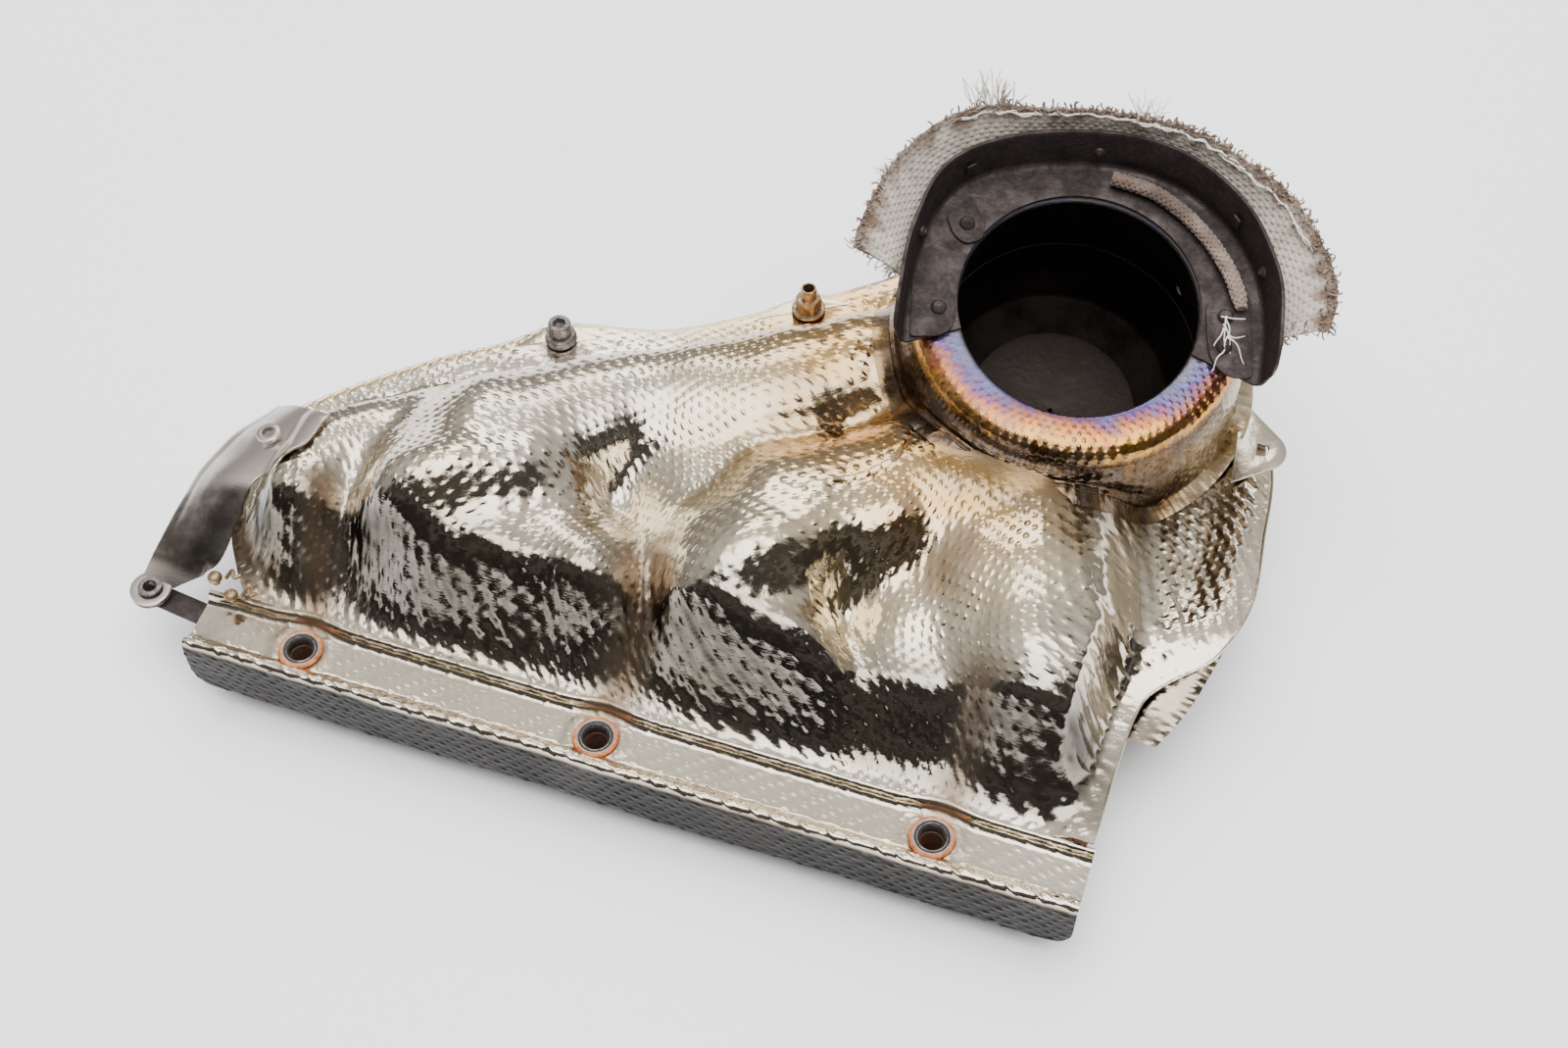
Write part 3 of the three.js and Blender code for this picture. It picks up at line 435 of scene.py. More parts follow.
# ---------- node trees ----------
class Tree:
    """A short way to add and join nodes in one node tree."""

    def __init__(self, tree):
        self.tree = tree

    def node(self, kind, inputs=None, **settings):
        made = self.tree.nodes.new(kind)
        for key, value in settings.items():
            setattr(made, key, value)
        for key, value in (inputs or {}).items():
            self.feed(made.inputs[key], value)
        return made

    def feed(self, socket, value):
        if isinstance(value, bpy.types.NodeSocket):
            self.tree.links.new(value, socket)
        else:
            socket.default_value = value

    def maths(self, operation, *values, clamp=False):
        made = self.node("ShaderNodeMath", operation=operation, use_clamp=clamp)
        for socket, value in zip(made.inputs, values):
            self.feed(socket, value)
        return made.outputs[0]

    def times(self, a, b, clamp=False):
        return self.maths("MULTIPLY", a, b, clamp=clamp)

    def plus(self, a, b, clamp=False):
        return self.maths("ADD", a, b, clamp=clamp)

    def minus(self, a, b):
        return self.maths("SUBTRACT", a, b)

    def blend(self, share, a, b):
        made = self.node("ShaderNodeMix", data_type="RGBA")
        for socket, value in zip((made.inputs[0], made.inputs[6], made.inputs[7]), (share, a, b)):
            self.feed(socket, value)
        return made.outputs[2]

    def noise(self, vector, scale, detail=3.0, roughness=0.55, stretch=None):
        if stretch:
            vector = self.node("ShaderNodeMapping", {"Vector": vector, "Scale": stretch}).outputs[0]
        return self.node("ShaderNodeTexNoise", {
            "Vector": vector, "Scale": scale, "Detail": detail, "Roughness": roughness}).outputs[0]

    def ramp(self, value, stops):
        made = self.node("ShaderNodeValToRGB", {0: value})
        elements = made.color_ramp.elements
        while len(elements) < len(stops):
            elements.new(1.0)
        for element, (position, colour) in zip(elements, stops):
            element.position = position
            element.color = (*colour, 1)
        return made.outputs[0]

    def range(self, value, low, high, to_low=0.0, to_high=1.0):
        return self.node("ShaderNodeMapRange", {
            0: value, 1: low, 2: high, 3: to_low, 4: to_high}, interpolation_type="SMOOTHSTEP").outputs[0]

    def attribute(self, name):
        return self.node("ShaderNodeAttribute", attribute_name=name).outputs["Fac"]

    def place(self):
        return self.node("ShaderNodeTexCoord").outputs["Object"]

    def stored(self, name, kind="FLOAT"):
        """A value or direction kept on a mesh's points, in a Geometry Nodes tree."""
        return self.node("GeometryNodeInputNamedAttribute", {"Name": name}, data_type=kind).outputs[0]

    def vector(self, x, y, z):
        return self.node("ShaderNodeCombineXYZ", {0: x, 1: y, 2: z}).outputs[0]


def node_group(name, inputs, outputs, kind="ShaderNodeTree"):
    """An empty node group with named sockets; inputs and outputs are {name: (type, default)}."""
    tree = bpy.data.node_groups.new(name, kind)
    for key, (socket, default) in inputs.items():
        made = tree.interface.new_socket(key, in_out="INPUT", socket_type="NodeSocket" + socket)
        if default is not None:
            made.default_value = default
    for key, socket in outputs.items():
        tree.interface.new_socket(key, in_out="OUTPUT", socket_type="NodeSocket" + socket)
    t = Tree(tree)
    return t, t.node("NodeGroupInput").outputs, t.node("NodeGroupOutput").inputs


def use_group(t, group, **values):
    made = t.node("ShaderNodeGroup", node_tree=group)
    for key, value in values.items():
        t.feed(made.inputs[key.replace("_", " ")], value)
    return made.outputs


def dirt_group():
    """Patchy dirt: a mask that is thicker where the input value is high."""
    t, given, out = node_group(
        "patchy dirt", {"Amount": ("Float", 0.3), "Scale": ("Float", 60.0), "Softness": ("Float", 0.25)},
        {"Mask": "Float"})
    here = t.place()
    coarse = t.noise(here, given["Scale"], detail=5, roughness=0.62)
    fine = t.noise(here, t.times(given["Scale"], 4.3), detail=3)
    mixed = t.plus(t.times(coarse, 0.72), t.times(fine, 0.28))
    edge = t.minus(0.72, t.times(given["Amount"], 0.42))
    low, high = t.minus(edge, given["Softness"]), t.plus(edge, 0.04)
    t.feed(out["Mask"], t.range(mixed, low, high))
    return t.tree


def marks_group():
    """Fine uneven polish marks, as a height around zero."""
    t, given, out = node_group("polish marks", {"Scale": ("Float", 900.0), "Stretch": ("Float", 0.12)},
                               {"Height": "Float"})
    here = t.place()
    long_way = t.vector(given["Stretch"], 1.0, 1.0)
    first, second = (
        t.node("ShaderNodeMapping", {"Vector": here, "Scale": long_way, "Rotation": turn}).outputs[0]
        for turn in ((0, 0, 0.7), (0.3, 0, -0.9)))
    a, b = t.noise(first, given["Scale"], 2), t.noise(second, given["Scale"], 2)
    t.feed(out["Height"], t.minus(t.plus(a, b), 1.0))
    return t.tree


def temper_group():
    """Temper colours that steel takes with heat, from cool (0) to hottest (1)."""
    t, given, out = node_group("temper colours", {"Heat": ("Float", 0.0), "Unevenness": ("Float", 0.12)},
                               {"Color": "Color"})
    here = t.place()
    uneven = t.minus(t.noise(here, 42, 4, 0.6), 0.5)
    speckle = t.minus(t.noise(here, 260, 2, 0.6), 0.5)
    shift = t.times(t.plus(uneven, t.times(speckle, 0.7)), given["Unevenness"])
    heat = t.plus(given["Heat"], t.times(shift, 2.2), clamp=True)
    t.feed(out["Color"], t.ramp(heat, [
        (0.0, (0.68, 0.61, 0.49)), (0.12, (0.58, 0.46, 0.28)), (0.24, (0.33, 0.20, 0.075)),
        (0.34, (0.085, 0.048, 0.02)), (0.44, (0.20, 0.10, 0.028)), (0.52, (0.70, 0.36, 0.07)),
        (0.60, (0.52, 0.175, 0.045)), (0.67, (0.28, 0.085, 0.065)), (0.73, (0.14, 0.065, 0.20)),
        (0.80, (0.13, 0.145, 0.30)), (0.88, (0.24, 0.23, 0.27)), (1.0, (0.30, 0.26, 0.25))]))
    return t.tree


def weave_group():
    """Plain weave over a UV map in thread counts: a height and a mask of the threads that lie on top."""
    t, given, out = node_group("plain weave", {"Fuzz": ("Float", 0.3)},
                               {"Height": "Float", "Over": "Float"})
    spot = t.node("ShaderNodeSeparateXYZ",
                  {0: t.node("ShaderNodeUVMap", uv_map="threads").outputs[0]}).outputs
    warp, weft = (t.maths("SINE", t.times(spot[way], math.pi)) for way in (0, 1))
    threads = t.times(t.maths("ABSOLUTE", warp), t.maths("ABSOLUTE", weft))
    fuzz = t.times(t.noise(t.place(), 2600, 2), given["Fuzz"])
    t.feed(out["Height"], t.plus(threads, fuzz))
    t.feed(out["Over"], t.range(t.times(warp, weft), -0.4, 0.4))
    return t.tree


def pressed_rows(t, along, across, here, pitch, length):
    """Row number across the embossing, and its staggered bumps between 0 and 1."""
    def wander(scale, reach):
        noise = t.node("ShaderNodeTexNoise", {"Vector": here, "W": 3.0, "Scale": scale, "Detail": 1.0},
                       noise_dimensions="4D").outputs[0]
        return t.times(t.minus(noise, 0.5), reach)

    drift, jitter = wander(26.0, 8.0), wander(95.0, 2.0)
    row = t.maths("DIVIDE", t.plus(t.plus(across, drift), jitter), pitch)
    step = t.maths("DIVIDE", t.plus(along, drift), length)
    wave = t.times(t.maths("COSINE", t.times(row, 2 * math.pi)),
                   t.maths("COSINE", t.times(step, 2 * math.pi)))
    return row, t.maths("POWER", t.maths("MAXIMUM", wave, 0.0), 1.4)


def dimple_group():
    """Rows of small bumps as a height in millimetres, the same rows that the sheet is pressed with."""
    t, given, out = node_group(
        "dimples", {"Pitch": ("Float", EMBOSS_PITCH), "Length": ("Float", EMBOSS_LENGTH),
                    "Depth": ("Float", 0.2)},
        {"Height": "Float"})
    here = t.place()
    rows = pressed_rows(t, t.attribute("along"), t.attribute("across"), here, given["Pitch"],
                        given["Length"])[1]
    patch = t.range(t.noise(here, 52, 2), 0.34, 0.62, 0.4, 1.15)
    t.feed(out["Height"], t.times(t.times(rows, patch), given["Depth"]))
    return t.tree


DIRT = dirt_group()
MARKS = marks_group()
TEMPER = temper_group()
WEAVE = weave_group()
DIMPLES = dimple_group()


# ---------- materials ----------
def new_material(name, metallic, roughness):
    material = bpy.data.materials.new(name)
    material.use_nodes = True
    t = Tree(material.node_tree)
    shader = material.node_tree.nodes["Principled BSDF"]
    shader.inputs["Metallic"].default_value = metallic
    shader.inputs["Roughness"].default_value = roughness
    return material, t, shader


def bump(t, shader, height, distance, strength=1.0):
    made = t.node("ShaderNodeBump", {"Height": height, "Distance": distance, "Strength": strength})
    t.feed(shader.inputs["Normal"], made.outputs[0])


def foil_material(name, bright=(0.76, 0.70, 0.60), dull=(0.60, 0.53, 0.43), gloss=0.12):
    """Embossed stainless foil: champagne sheen, straw tints, brown stains, small dull patches, and painted
    shade where the shade value is set, strongest on steep faces.
    """
    material, t, shader = new_material(name, 1.0, gloss)
    here = t.place()
    patch = t.noise(here, 22, 5, 0.6)
    base = t.blend(t.range(patch, 0.35, 0.68), (*bright, 1), (*dull, 1))
    gold = t.attribute("gold")
    streak = t.noise(here, 70, 4, 0.6, stretch=(0.35, 1.0, 0.6))
    gold_share = t.times(gold, t.range(streak, 0.25, 0.7, 0.55, 1.0))
    base = t.blend(t.times(gold_share, 0.85), base, t.blend(
        t.range(gold, 0.4, 1.0), (0.80, 0.62, 0.29, 1), (0.60, 0.33, 0.07, 1)))
    stain = use_group(t, DIRT, Amount=t.attribute("stain"), Scale=38.0, Softness=0.3)["Mask"]
    stained = t.times(stain, t.attribute("stain"), clamp=True)
    base = t.blend(t.times(stained, 0.9), base, (0.30, 0.20, 0.12, 1))
    # Painted shade: the shade value darkens the colour almost to black, fully on steep faces and by half on
    # level ones.
    upward = t.node("ShaderNodeSeparateXYZ",
                    {0: t.node("ShaderNodeNewGeometry").outputs["Normal"]}).outputs[2]
    steep_shade = t.range(upward, 0.32, 0.6, 1.0, 0.5)
    shade = t.times(t.times(t.attribute("shade"), t.range(streak, 0.25, 0.6, 0.97, 1.0)), steep_shade)
    base = t.blend(shade, base, (0.010, 0.0085, 0.007, 1))
    specks = use_group(t, DIRT, Amount=0.12, Scale=420.0, Softness=0.06)["Mask"]
    base = t.blend(t.times(specks, 0.25), base, (0.26, 0.19, 0.13, 1))
    t.feed(shader.inputs["Base Color"], base)
    rough = t.range(patch, 0.3, 0.75, gloss * 0.7, gloss * 1.7)
    t.feed(shader.inputs["Roughness"], t.plus(rough, t.times(stained, 0.28)))
    marks = t.times(use_group(t, MARKS, Scale=1400.0, Stretch=0.1)["Height"], 0.03)
    pebble = t.times(t.noise(here, 260, 3), 0.16)
    drops = t.times(use_group(t, DIMPLES)["Height"], t.attribute("calm"))
    bump(t, shader, t.plus(t.plus(marks, pebble), drops), MM)
    return material


def temper_material():
    """Foil round the outlet, coloured by heat from grey-blue at the hole to gold and brown."""
    material, t, shader = new_material("heat_tinted_foil", 1.0, 0.2)
    here = t.place()
    heat = t.attribute("temper")
    base = use_group(t, TEMPER, Heat=heat, Unevenness=0.15)["Color"]
    streak = t.node("ShaderNodeTexNoise", {
        "Vector": t.vector(t.attribute("round"), t.attribute("down"), 0.0),
        "Scale": 1.0, "Detail": 4.0, "Roughness": 0.6}).outputs[0]
    wall = t.attribute("wall")
    base = t.blend(t.times(wall, t.range(streak, 0.36, 0.62, 0.25, 0.95)), base, (0.07, 0.042, 0.02, 1))
    dirt = use_group(t, DIRT, Amount=0.35, Scale=120.0, Softness=0.2)["Mask"]
    base = t.blend(t.times(dirt, 0.35), base, (0.27, 0.23, 0.22, 1))
    t.feed(shader.inputs["Base Color"], base)
    rough = t.range(heat, 0.55, 0.95, 0.17, 0.42)
    t.feed(shader.inputs["Roughness"], t.plus(rough, t.times(dirt, 0.12)))
    marks = t.times(use_group(t, MARKS, Scale=1500.0, Stretch=0.2)["Height"], 0.03)
    pebble = t.times(t.noise(here, 320, 3), 0.16)
    drops = use_group(t, DIMPLES, Pitch=AROUND_PITCH, Length=TOWER_EMBOSS_LENGTH)["Height"]
    drops = t.times(drops, t.attribute("calm"))
    bump(t, shader, t.plus(t.plus(marks, pebble), drops), MM)
    return material


def sheet_material(name, light, dark, dirt_colour, *, gloss, metallic, dirt, scale, relief):
    """A worn sheet or hardware metal: two tones in patches, dirt and fine marks."""
    material, t, shader = new_material(name, metallic, gloss)
    here = t.place()
    patch = t.noise(here, scale, 5, 0.62)
    base = t.blend(t.range(patch, 0.32, 0.68), (*light, 1), (*dark, 1))
    mask = use_group(t, DIRT, Amount=dirt, Scale=scale * 1.6, Softness=0.22)["Mask"]
    base = t.blend(t.times(mask, 0.8), base, (*dirt_colour, 1))
    t.feed(shader.inputs["Base Color"], base)
    rough = t.range(patch, 0.3, 0.7, gloss * 0.8, gloss * 1.3)
    t.feed(shader.inputs["Roughness"], t.plus(rough, t.times(mask, 0.2)))
    marks = use_group(t, MARKS, Scale=1300.0, Stretch=0.14)["Height"]
    bump(t, shader, t.plus(marks, t.times(t.noise(here, scale * 9, 4, 0.65), 2.0)), relief, 0.7)
    return material


def cap_material():
    """Satin stamping of the end cap: soft grey-gold, with dark streaks down its steep front."""
    material, t, shader = new_material("satin_sheet", 1.0, 0.3)
    here = t.place()
    cloud = t.noise(here, 40, 4)
    base = t.blend(t.range(cloud, 0.35, 0.65), (0.66, 0.60, 0.54, 1), (0.52, 0.465, 0.41, 1))
    streak = t.noise(here, 70, 4, 0.62, stretch=(0.7, 1.0, 0.16))
    soot = t.times(t.attribute("stain"), t.range(streak, 0.3, 0.62, 0.35, 1.0))
    base = t.blend(t.times(soot, 0.9), base, (0.10, 0.085, 0.07, 1))
    t.feed(shader.inputs["Base Color"], base)
    t.feed(shader.inputs["Roughness"], t.range(cloud, 0.3, 0.7, 0.24, 0.38))
    bump(t, shader, use_group(t, MARKS, Scale=1100.0, Stretch=0.08)["Height"], 0.00006, 0.6)
    return material


def rust_material():
    """Grommet flange: orange rust at its rim, grey worn metal towards the bore."""
    material, t, shader = new_material("rusted_grommet", 0.5, 0.6)
    rim = t.attribute("rim")
    patch = t.noise(t.place(), 420, 4, 0.6)
    bite = t.plus(rim, t.times(t.minus(patch, 0.5), 1.1))
    rusty = t.range(bite, 0.35, 0.75)
    rust = t.ramp(patch, [(0.3, (0.20, 0.055, 0.02)), (0.5, (0.42, 0.13, 0.04)),
                          (0.68, (0.56, 0.23, 0.09))])
    grey = t.ramp(patch, [(0.3, (0.28, 0.25, 0.24)), (0.7, (0.47, 0.44, 0.43))])
    t.feed(shader.inputs["Base Color"], t.blend(rusty, grey, rust))
    t.feed(shader.inputs["Metallic"], t.minus(0.85, t.times(rusty, 0.8)))
    t.feed(shader.inputs["Roughness"], t.range(rusty, 0, 1, 0.42, 0.85))
    bump(t, shader, t.noise(t.place(), 1100, 4, 0.65), 0.0003, 0.8)
    return material


def cloth_material(name, light, dark, burnt, woven):
    """Glass cloth or braid: pale threads, darker gaps, scorched brown where the burn value is high."""
    material, t, shader = new_material(name, 0.0, 0.92)
    patch = t.noise(t.place(), 85, 4, 0.6)
    base = t.blend(t.range(patch, 0.35, 0.7), (*light, 1), (*dark, 1))
    fibre = t.noise(t.place(), 1900, 3, 0.6)
    height = fibre
    if woven:
        weave = use_group(t, WEAVE, Fuzz=0.25)
        base = t.blend(t.times(weave["Over"], 0.35), base, (*[c * 0.72 for c in dark], 1))
        height = weave["Height"]
    base = t.blend(t.range(fibre, 0.42, 0.75, 0.0, 0.45), base, (*[c * 0.55 for c in dark], 1))
    scorch = t.times(t.attribute("burn"), t.range(patch, 0.28, 0.6, 0.6, 1.0))
    base = t.blend(scorch, base, (*burnt, 1))
    t.feed(shader.inputs["Base Color"], base)
    bump(t, shader, height, 0.0004, 0.8)
    shader.inputs["Sheen Weight"].default_value = 0.2
    return material


def interior_material():
    """Sooted steel inside the collector, a little shiny where gas has scoured the weld bead."""
    material, t, shader = new_material("sooted_steel", 0.85, 0.45)
    patch = t.noise(t.place(), 55, 5, 0.6)
    base = t.ramp(patch, [(0.3, (0.020, 0.016, 0.014)), (0.7, (0.042, 0.032, 0.027))])
    base = t.blend(t.attribute("bead"), base, t.ramp(t.noise(t.place(), 240, 3), [
        (0.4, (0.16, 0.12, 0.09)), (0.6, (0.85, 0.78, 0.66))]))
    t.feed(shader.inputs["Base Color"], base)
    t.feed(shader.inputs["Roughness"], t.range(patch, 0.3, 0.7, 0.34, 0.62))
    bump(t, shader, t.noise(t.place(), 300, 4, 0.6), 0.0003, 0.7)
    return material


FOIL_SKIN = foil_material("embossed_foil")
TOWER_SKIN = temper_material()
LOWER_SKIN = foil_material("dark_foil", (0.42, 0.385, 0.34), (0.24, 0.215, 0.19), 0.2)
SATIN = cap_material()
BARE_STEEL = sheet_material(
    "bare_manifold_steel", (0.36, 0.29, 0.24), (0.20, 0.155, 0.13), (0.24, 0.10, 0.05),
    gloss=0.5, metallic=0.85, dirt=0.5, scale=60.0, relief=0.0003)
SOOT = interior_material()
BURNT = sheet_material(
    "burnt_bracket_steel", (0.082, 0.066, 0.062), (0.058, 0.045, 0.041), (0.034, 0.027, 0.025),
    gloss=0.46, metallic=0.75, dirt=0.3, scale=70.0, relief=0.00018)
RUST = rust_material()
ZINC = sheet_material(
    "zinc_hardware", (0.46, 0.45, 0.45), (0.30, 0.285, 0.28), (0.15, 0.11, 0.09),
    gloss=0.36, metallic=1.0, dirt=0.35, scale=260.0, relief=0.0001)
BRONZE = sheet_material(
    "bronze_hardware", (0.72, 0.56, 0.36), (0.50, 0.37, 0.21), (0.22, 0.12, 0.06),
    gloss=0.3, metallic=1.0, dirt=0.35, scale=260.0, relief=0.0001)
CLOTH = cloth_material("woven_cloth", (0.56, 0.50, 0.43), (0.40, 0.35, 0.295), (0.115, 0.07, 0.045), True)
FRINGE = cloth_material("scorched_thread", (0.36, 0.27, 0.20), (0.20, 0.14, 0.10), (0.10, 0.062, 0.042),
                        False)
PALE_THREAD = cloth_material("pale_thread", (0.74, 0.70, 0.64), (0.55, 0.50, 0.44), (0.2, 0.13, 0.09),
                             False)
ROPE = cloth_material("woven_rope", (0.24, 0.175, 0.14), (0.12, 0.085, 0.068), (0.06, 0.036, 0.027), False)


# ---------- embossing of the foil ----------
def emboss_tree():
    """Presses the foil's rows of dimples, and the wrinkles where it was gathered, into a sheet."""
    t, given, out = node_group("emboss", {
        "Geometry": ("Geometry", None), "Pitch": ("Float", EMBOSS_PITCH),
        "Dimple length": ("Float", EMBOSS_LENGTH),
        "Dimple depth": ("Float", 0.34), "Wrinkle depth": ("Float", 0.5), "Dent depth": ("Float", 0.25),
        "Seed": ("Float", 3.0)}, {"Geometry": "Geometry"}, "GeometryNodeTree")

    def noise(vector, scale, detail=1.0):
        return t.node("ShaderNodeTexNoise",
                      {"Vector": vector, "W": given["Seed"], "Scale": scale, "Detail": detail},
                      noise_dimensions="4D").outputs[0]

    along, across, crease, calm = (t.stored(key) for key in ("along", "across", "crease", "calm"))
    here = t.node("GeometryNodeInputPosition").outputs[0]
    row, bumps = pressed_rows(t, along, across, here, given["Pitch"], given["Dimple length"])
    pits = t.minus(bumps, 0.2)
    pits = t.times(pits, t.plus(0.25, t.times(noise(here, 60.0), 1.3)))
    folds = t.minus(t.maths("ABSOLUTE", t.maths("SINE", t.times(row, math.pi))), 0.62)
    streaks = t.vector(t.times(along, 0.055), t.times(across, 0.16), 0.0)
    strength = t.range(noise(streaks, 1.0, 1.5), 0.34, 0.62, 0.12, 1.0)
    folds = t.times(t.times(folds, crease), strength)
    dents = t.minus(noise(here, 42.0, 2.0), 0.5)
    plain = t.minus(1.0, t.times(crease, 0.55))
    height = t.plus(t.times(t.times(pits, plain), given["Dimple depth"]),
                     t.times(folds, given["Wrinkle depth"]))
    height = t.plus(height, t.times(dents, given["Dent depth"]))
    height = t.times(t.times(height, calm), MM)
    normal = t.node("GeometryNodeInputNormal").outputs[0]
    push = t.node("ShaderNodeVectorMath", {0: normal, "Scale": height}, operation="SCALE").outputs[0]
    pressed = t.node("GeometryNodeSetPosition", {"Geometry": given["Geometry"], "Offset": push}).outputs[0]
    t.feed(out["Geometry"], pressed)
    return t.tree


EMBOSS = emboss_tree()


def use_tree(piece, tree, **values):
    """Adds a node tree to a piece, with its named inputs set by their identifiers."""
    modifier = piece.modifiers.new(tree.name, "NODES")
    sockets = {s.name: s.identifier for s in tree.interface.items_tree if s.in_out == "INPUT"}
    modifier.node_group = tree
    for key, value in values.items():
        modifier[sockets[key.replace("_", " ")]] = value
    return piece


def press(piece, **depths):
    """Presses the embossing into a single skin, then gives it the foil's thickness."""
    use_tree(piece, EMBOSS, **depths)
    settle(piece)
    thicken(piece, FOIL)
    return settle(piece)


# ---------- shell, rail and tower skins ----------
EMBOSS_TURN = math.radians(-50)
LEFT_SEAM = [(70, 138), (75, 124), (75, 111), (72, 99), (65, 90), (54, 82), (42, 74), (28, 73)]


def flow(x, y):
    """Coordinates along and across the rows of the embossing."""
    a = x * math.cos(EMBOSS_TURN) + y * math.sin(EMBOSS_TURN)
    b = -x * math.sin(EMBOSS_TURN) + y * math.cos(EMBOSS_TURN)
    bend = 13 * ripple(x, y, 5, 210)
    turn_right = smoothstep(120, 200, x) * 0.22
    return a + bend * 0.4, b + bend - (x - 150) * turn_right


def shell_start(x):
    """The foot of the shell, pushed back a little round each rail grommet."""
    bulge = sum(2.6 * np.exp(-((x - g) / 11) ** 2) for g in GROMMET_X)
    return SHELL_START + bulge


def skin_height(x, y, across):
    """The shell with its small pressed steps and valleys."""
    z = shell_height(x, y, across)
    reach, share, side = line_distance(LEFT_SEAM, x, y)
    fade = smoothstep(0, 0.2, share) * (1 - smoothstep(0.75, 1.0, share))
    lip = np.where(side > 0, 0, 1) * np.exp(-reach / 9) * fade
    groove = 0.5 * np.exp(-(reach / 1.2) ** 2) * fade
    inner = smoothstep(0, 14, y - SHELL_START) * smoothstep(6, 20, rear_edge(x) - y)
    wave = 0.9 * ripple(x, y, 11, 62) * inner
    off_rims = smoothstep(4, 26, (1 - across) * SHELL_SPAN) * smoothstep(4, 26, across * SHELL_SPAN)
    return z + lip - groove + wave * off_rims


def crease_of(x, y, across):
    """How strongly the foil is gathered: in valleys, beside the rail, and on the right and left flanks."""
    reach = 9.0
    ring = [(reach * math.cos(a), reach * math.sin(a)) for a in np.arange(8) * math.pi / 4]
    mean = sum(shell_height(x + dx, y + dy, across) for dx, dy in ring) / 8
    hollow = smoothstep(-0.9, 2.6, mean - shell_height(x, y, across))
    rail_side = 1 - smoothstep(6, 32, y)
    right = smoothstep(132, 168, x)
    left = 1 - smoothstep(-160, -135, x)
    near_tower = 1 - smoothstep(10, 34, tower_radius(x, y, shell_height(x, y, across))[0] - TOWER_BASE)
    strong = np.maximum.reduce([0.16 + 0.9 * hollow, 0.6 * rail_side, 0.95 * right, 0.75 * left,
                                0.6 * near_tower])
    return np.clip(strong, 0, 1)


def tint_of(x, y, z):
    """Straw and gold from the tower's heat, and brown stains in the valleys and at the rail bolts."""
    radius, angle = tower_radius(x, y, z)
    west = np.cos(angle - math.radians(196))
    gold = smoothstep(0, 1, (1 - (radius - TOWER_BASE) / mix(36, 150, smoothstep(-0.1, 0.9, west))))
    gold = gold * mix(0.35, 1.15, smoothstep(0.0, 0.7, west))
    gold = np.maximum(gold, 0.16 + 0.12 * ripple(x, y, 21, 150))
    stain = np.zeros_like(x)
    for line, width, amount in (
            ([(-139, -22), (-142, 0), (-148, 26)], 9, 0.95), ([(-10, -24), (-6, 12), (-14, 34)], 11, 0.9),
            ([(129, -24), (133, 0), (131, 22)], 10, 0.75), ([(-30, 118), (10, 128), (48, 136)], 11, 0.35),
            ([(-180, 8), (-176, -8), (-150, -18)], 12, 0.6), ([(-20, 70), (0, 100), (30, 120)], 9, 0.25)):
        reach = line_distance(line, x, y)[0]
        stain = np.maximum(stain, amount * np.exp(-(reach / width) ** 2))
    stain = np.maximum(stain, 0.5 * (1 - smoothstep(0, 9, radius - TOWER_BASE))
                       * smoothstep(-0.2, 0.5, west))
    return np.clip(gold, 0, 1), np.clip(stain + 0.06, 0, 1)


def shade_of(x, y, z):
    """Painted shade on the steep front just above the rail, and on the sheet in front of the tower."""
    foot = (1 - smoothstep(14, 40, y)) * smoothstep(-14, -6, y)
    radius, angle = tower_radius(x, y, z)
    facing = smoothstep(0.1, 0.8, np.cos(angle + math.radians(90)))
    return np.maximum(foot, facing * (1 - smoothstep(6, 30, radius - TOWER_BASE)))


def remove_faces(faces, points, test):
    """Faces whose middle doesn't meet the test."""
    middle = points.reshape(-1, 3)[faces].mean(1)
    return faces[~test(middle[:, 0], middle[:, 1], middle[:, 2])]


def hem_calm(x, y, across):
    """Less relief where the sheet is clamped at its rims and seats."""
    calm = smoothstep(1, 9, rear_edge(x) - y) * 0.75 + 0.25
    calm = calm * (smoothstep(1, 10, (1 - across) * SHELL_SPAN) * 0.6 + 0.4)
    radius = tower_radius(x, y, shell_height(x, y, across))[0]
    calm = calm * (0.1 + 0.9 * smoothstep(TOWER_BASE + 6, TOWER_BASE + 11, radius))
    for sx, sy in (CAP_SCREW, COLLAR_NUT, LUG):
        calm = calm * (0.15 + 0.85 * smoothstep(8, 20, np.hypot(x - sx, y - sy)))
    return calm


SHELL_ROWS = 236
SHELL_HOLES = ((CAP_SCREW, 3.3), (COLLAR_NUT, 3.3), (LUG, 3.8))
RIM_WAVE_HIGH, RIM_WAVE_LONG = 0.35, 5.2


def rim_wave(x):
    """Small crimping waves along the rear rim, left of the cap screw."""
    return RIM_WAVE_HIGH * np.sin(x * 2 * math.pi / RIM_WAVE_LONG) * (1 - smoothstep(-95, -80, x))


def shell_opening(x, y, z):
    """Where the shell is cut away: under the tower, and at the fastener holes."""
    cut_away = tower_radius(x, y, z)[0] < TOWER_BASE - 4
    for (hole_x, hole_y), radius in SHELL_HOLES:
        cut_away |= np.hypot(x - hole_x, y - hole_y) < radius
    return cut_away


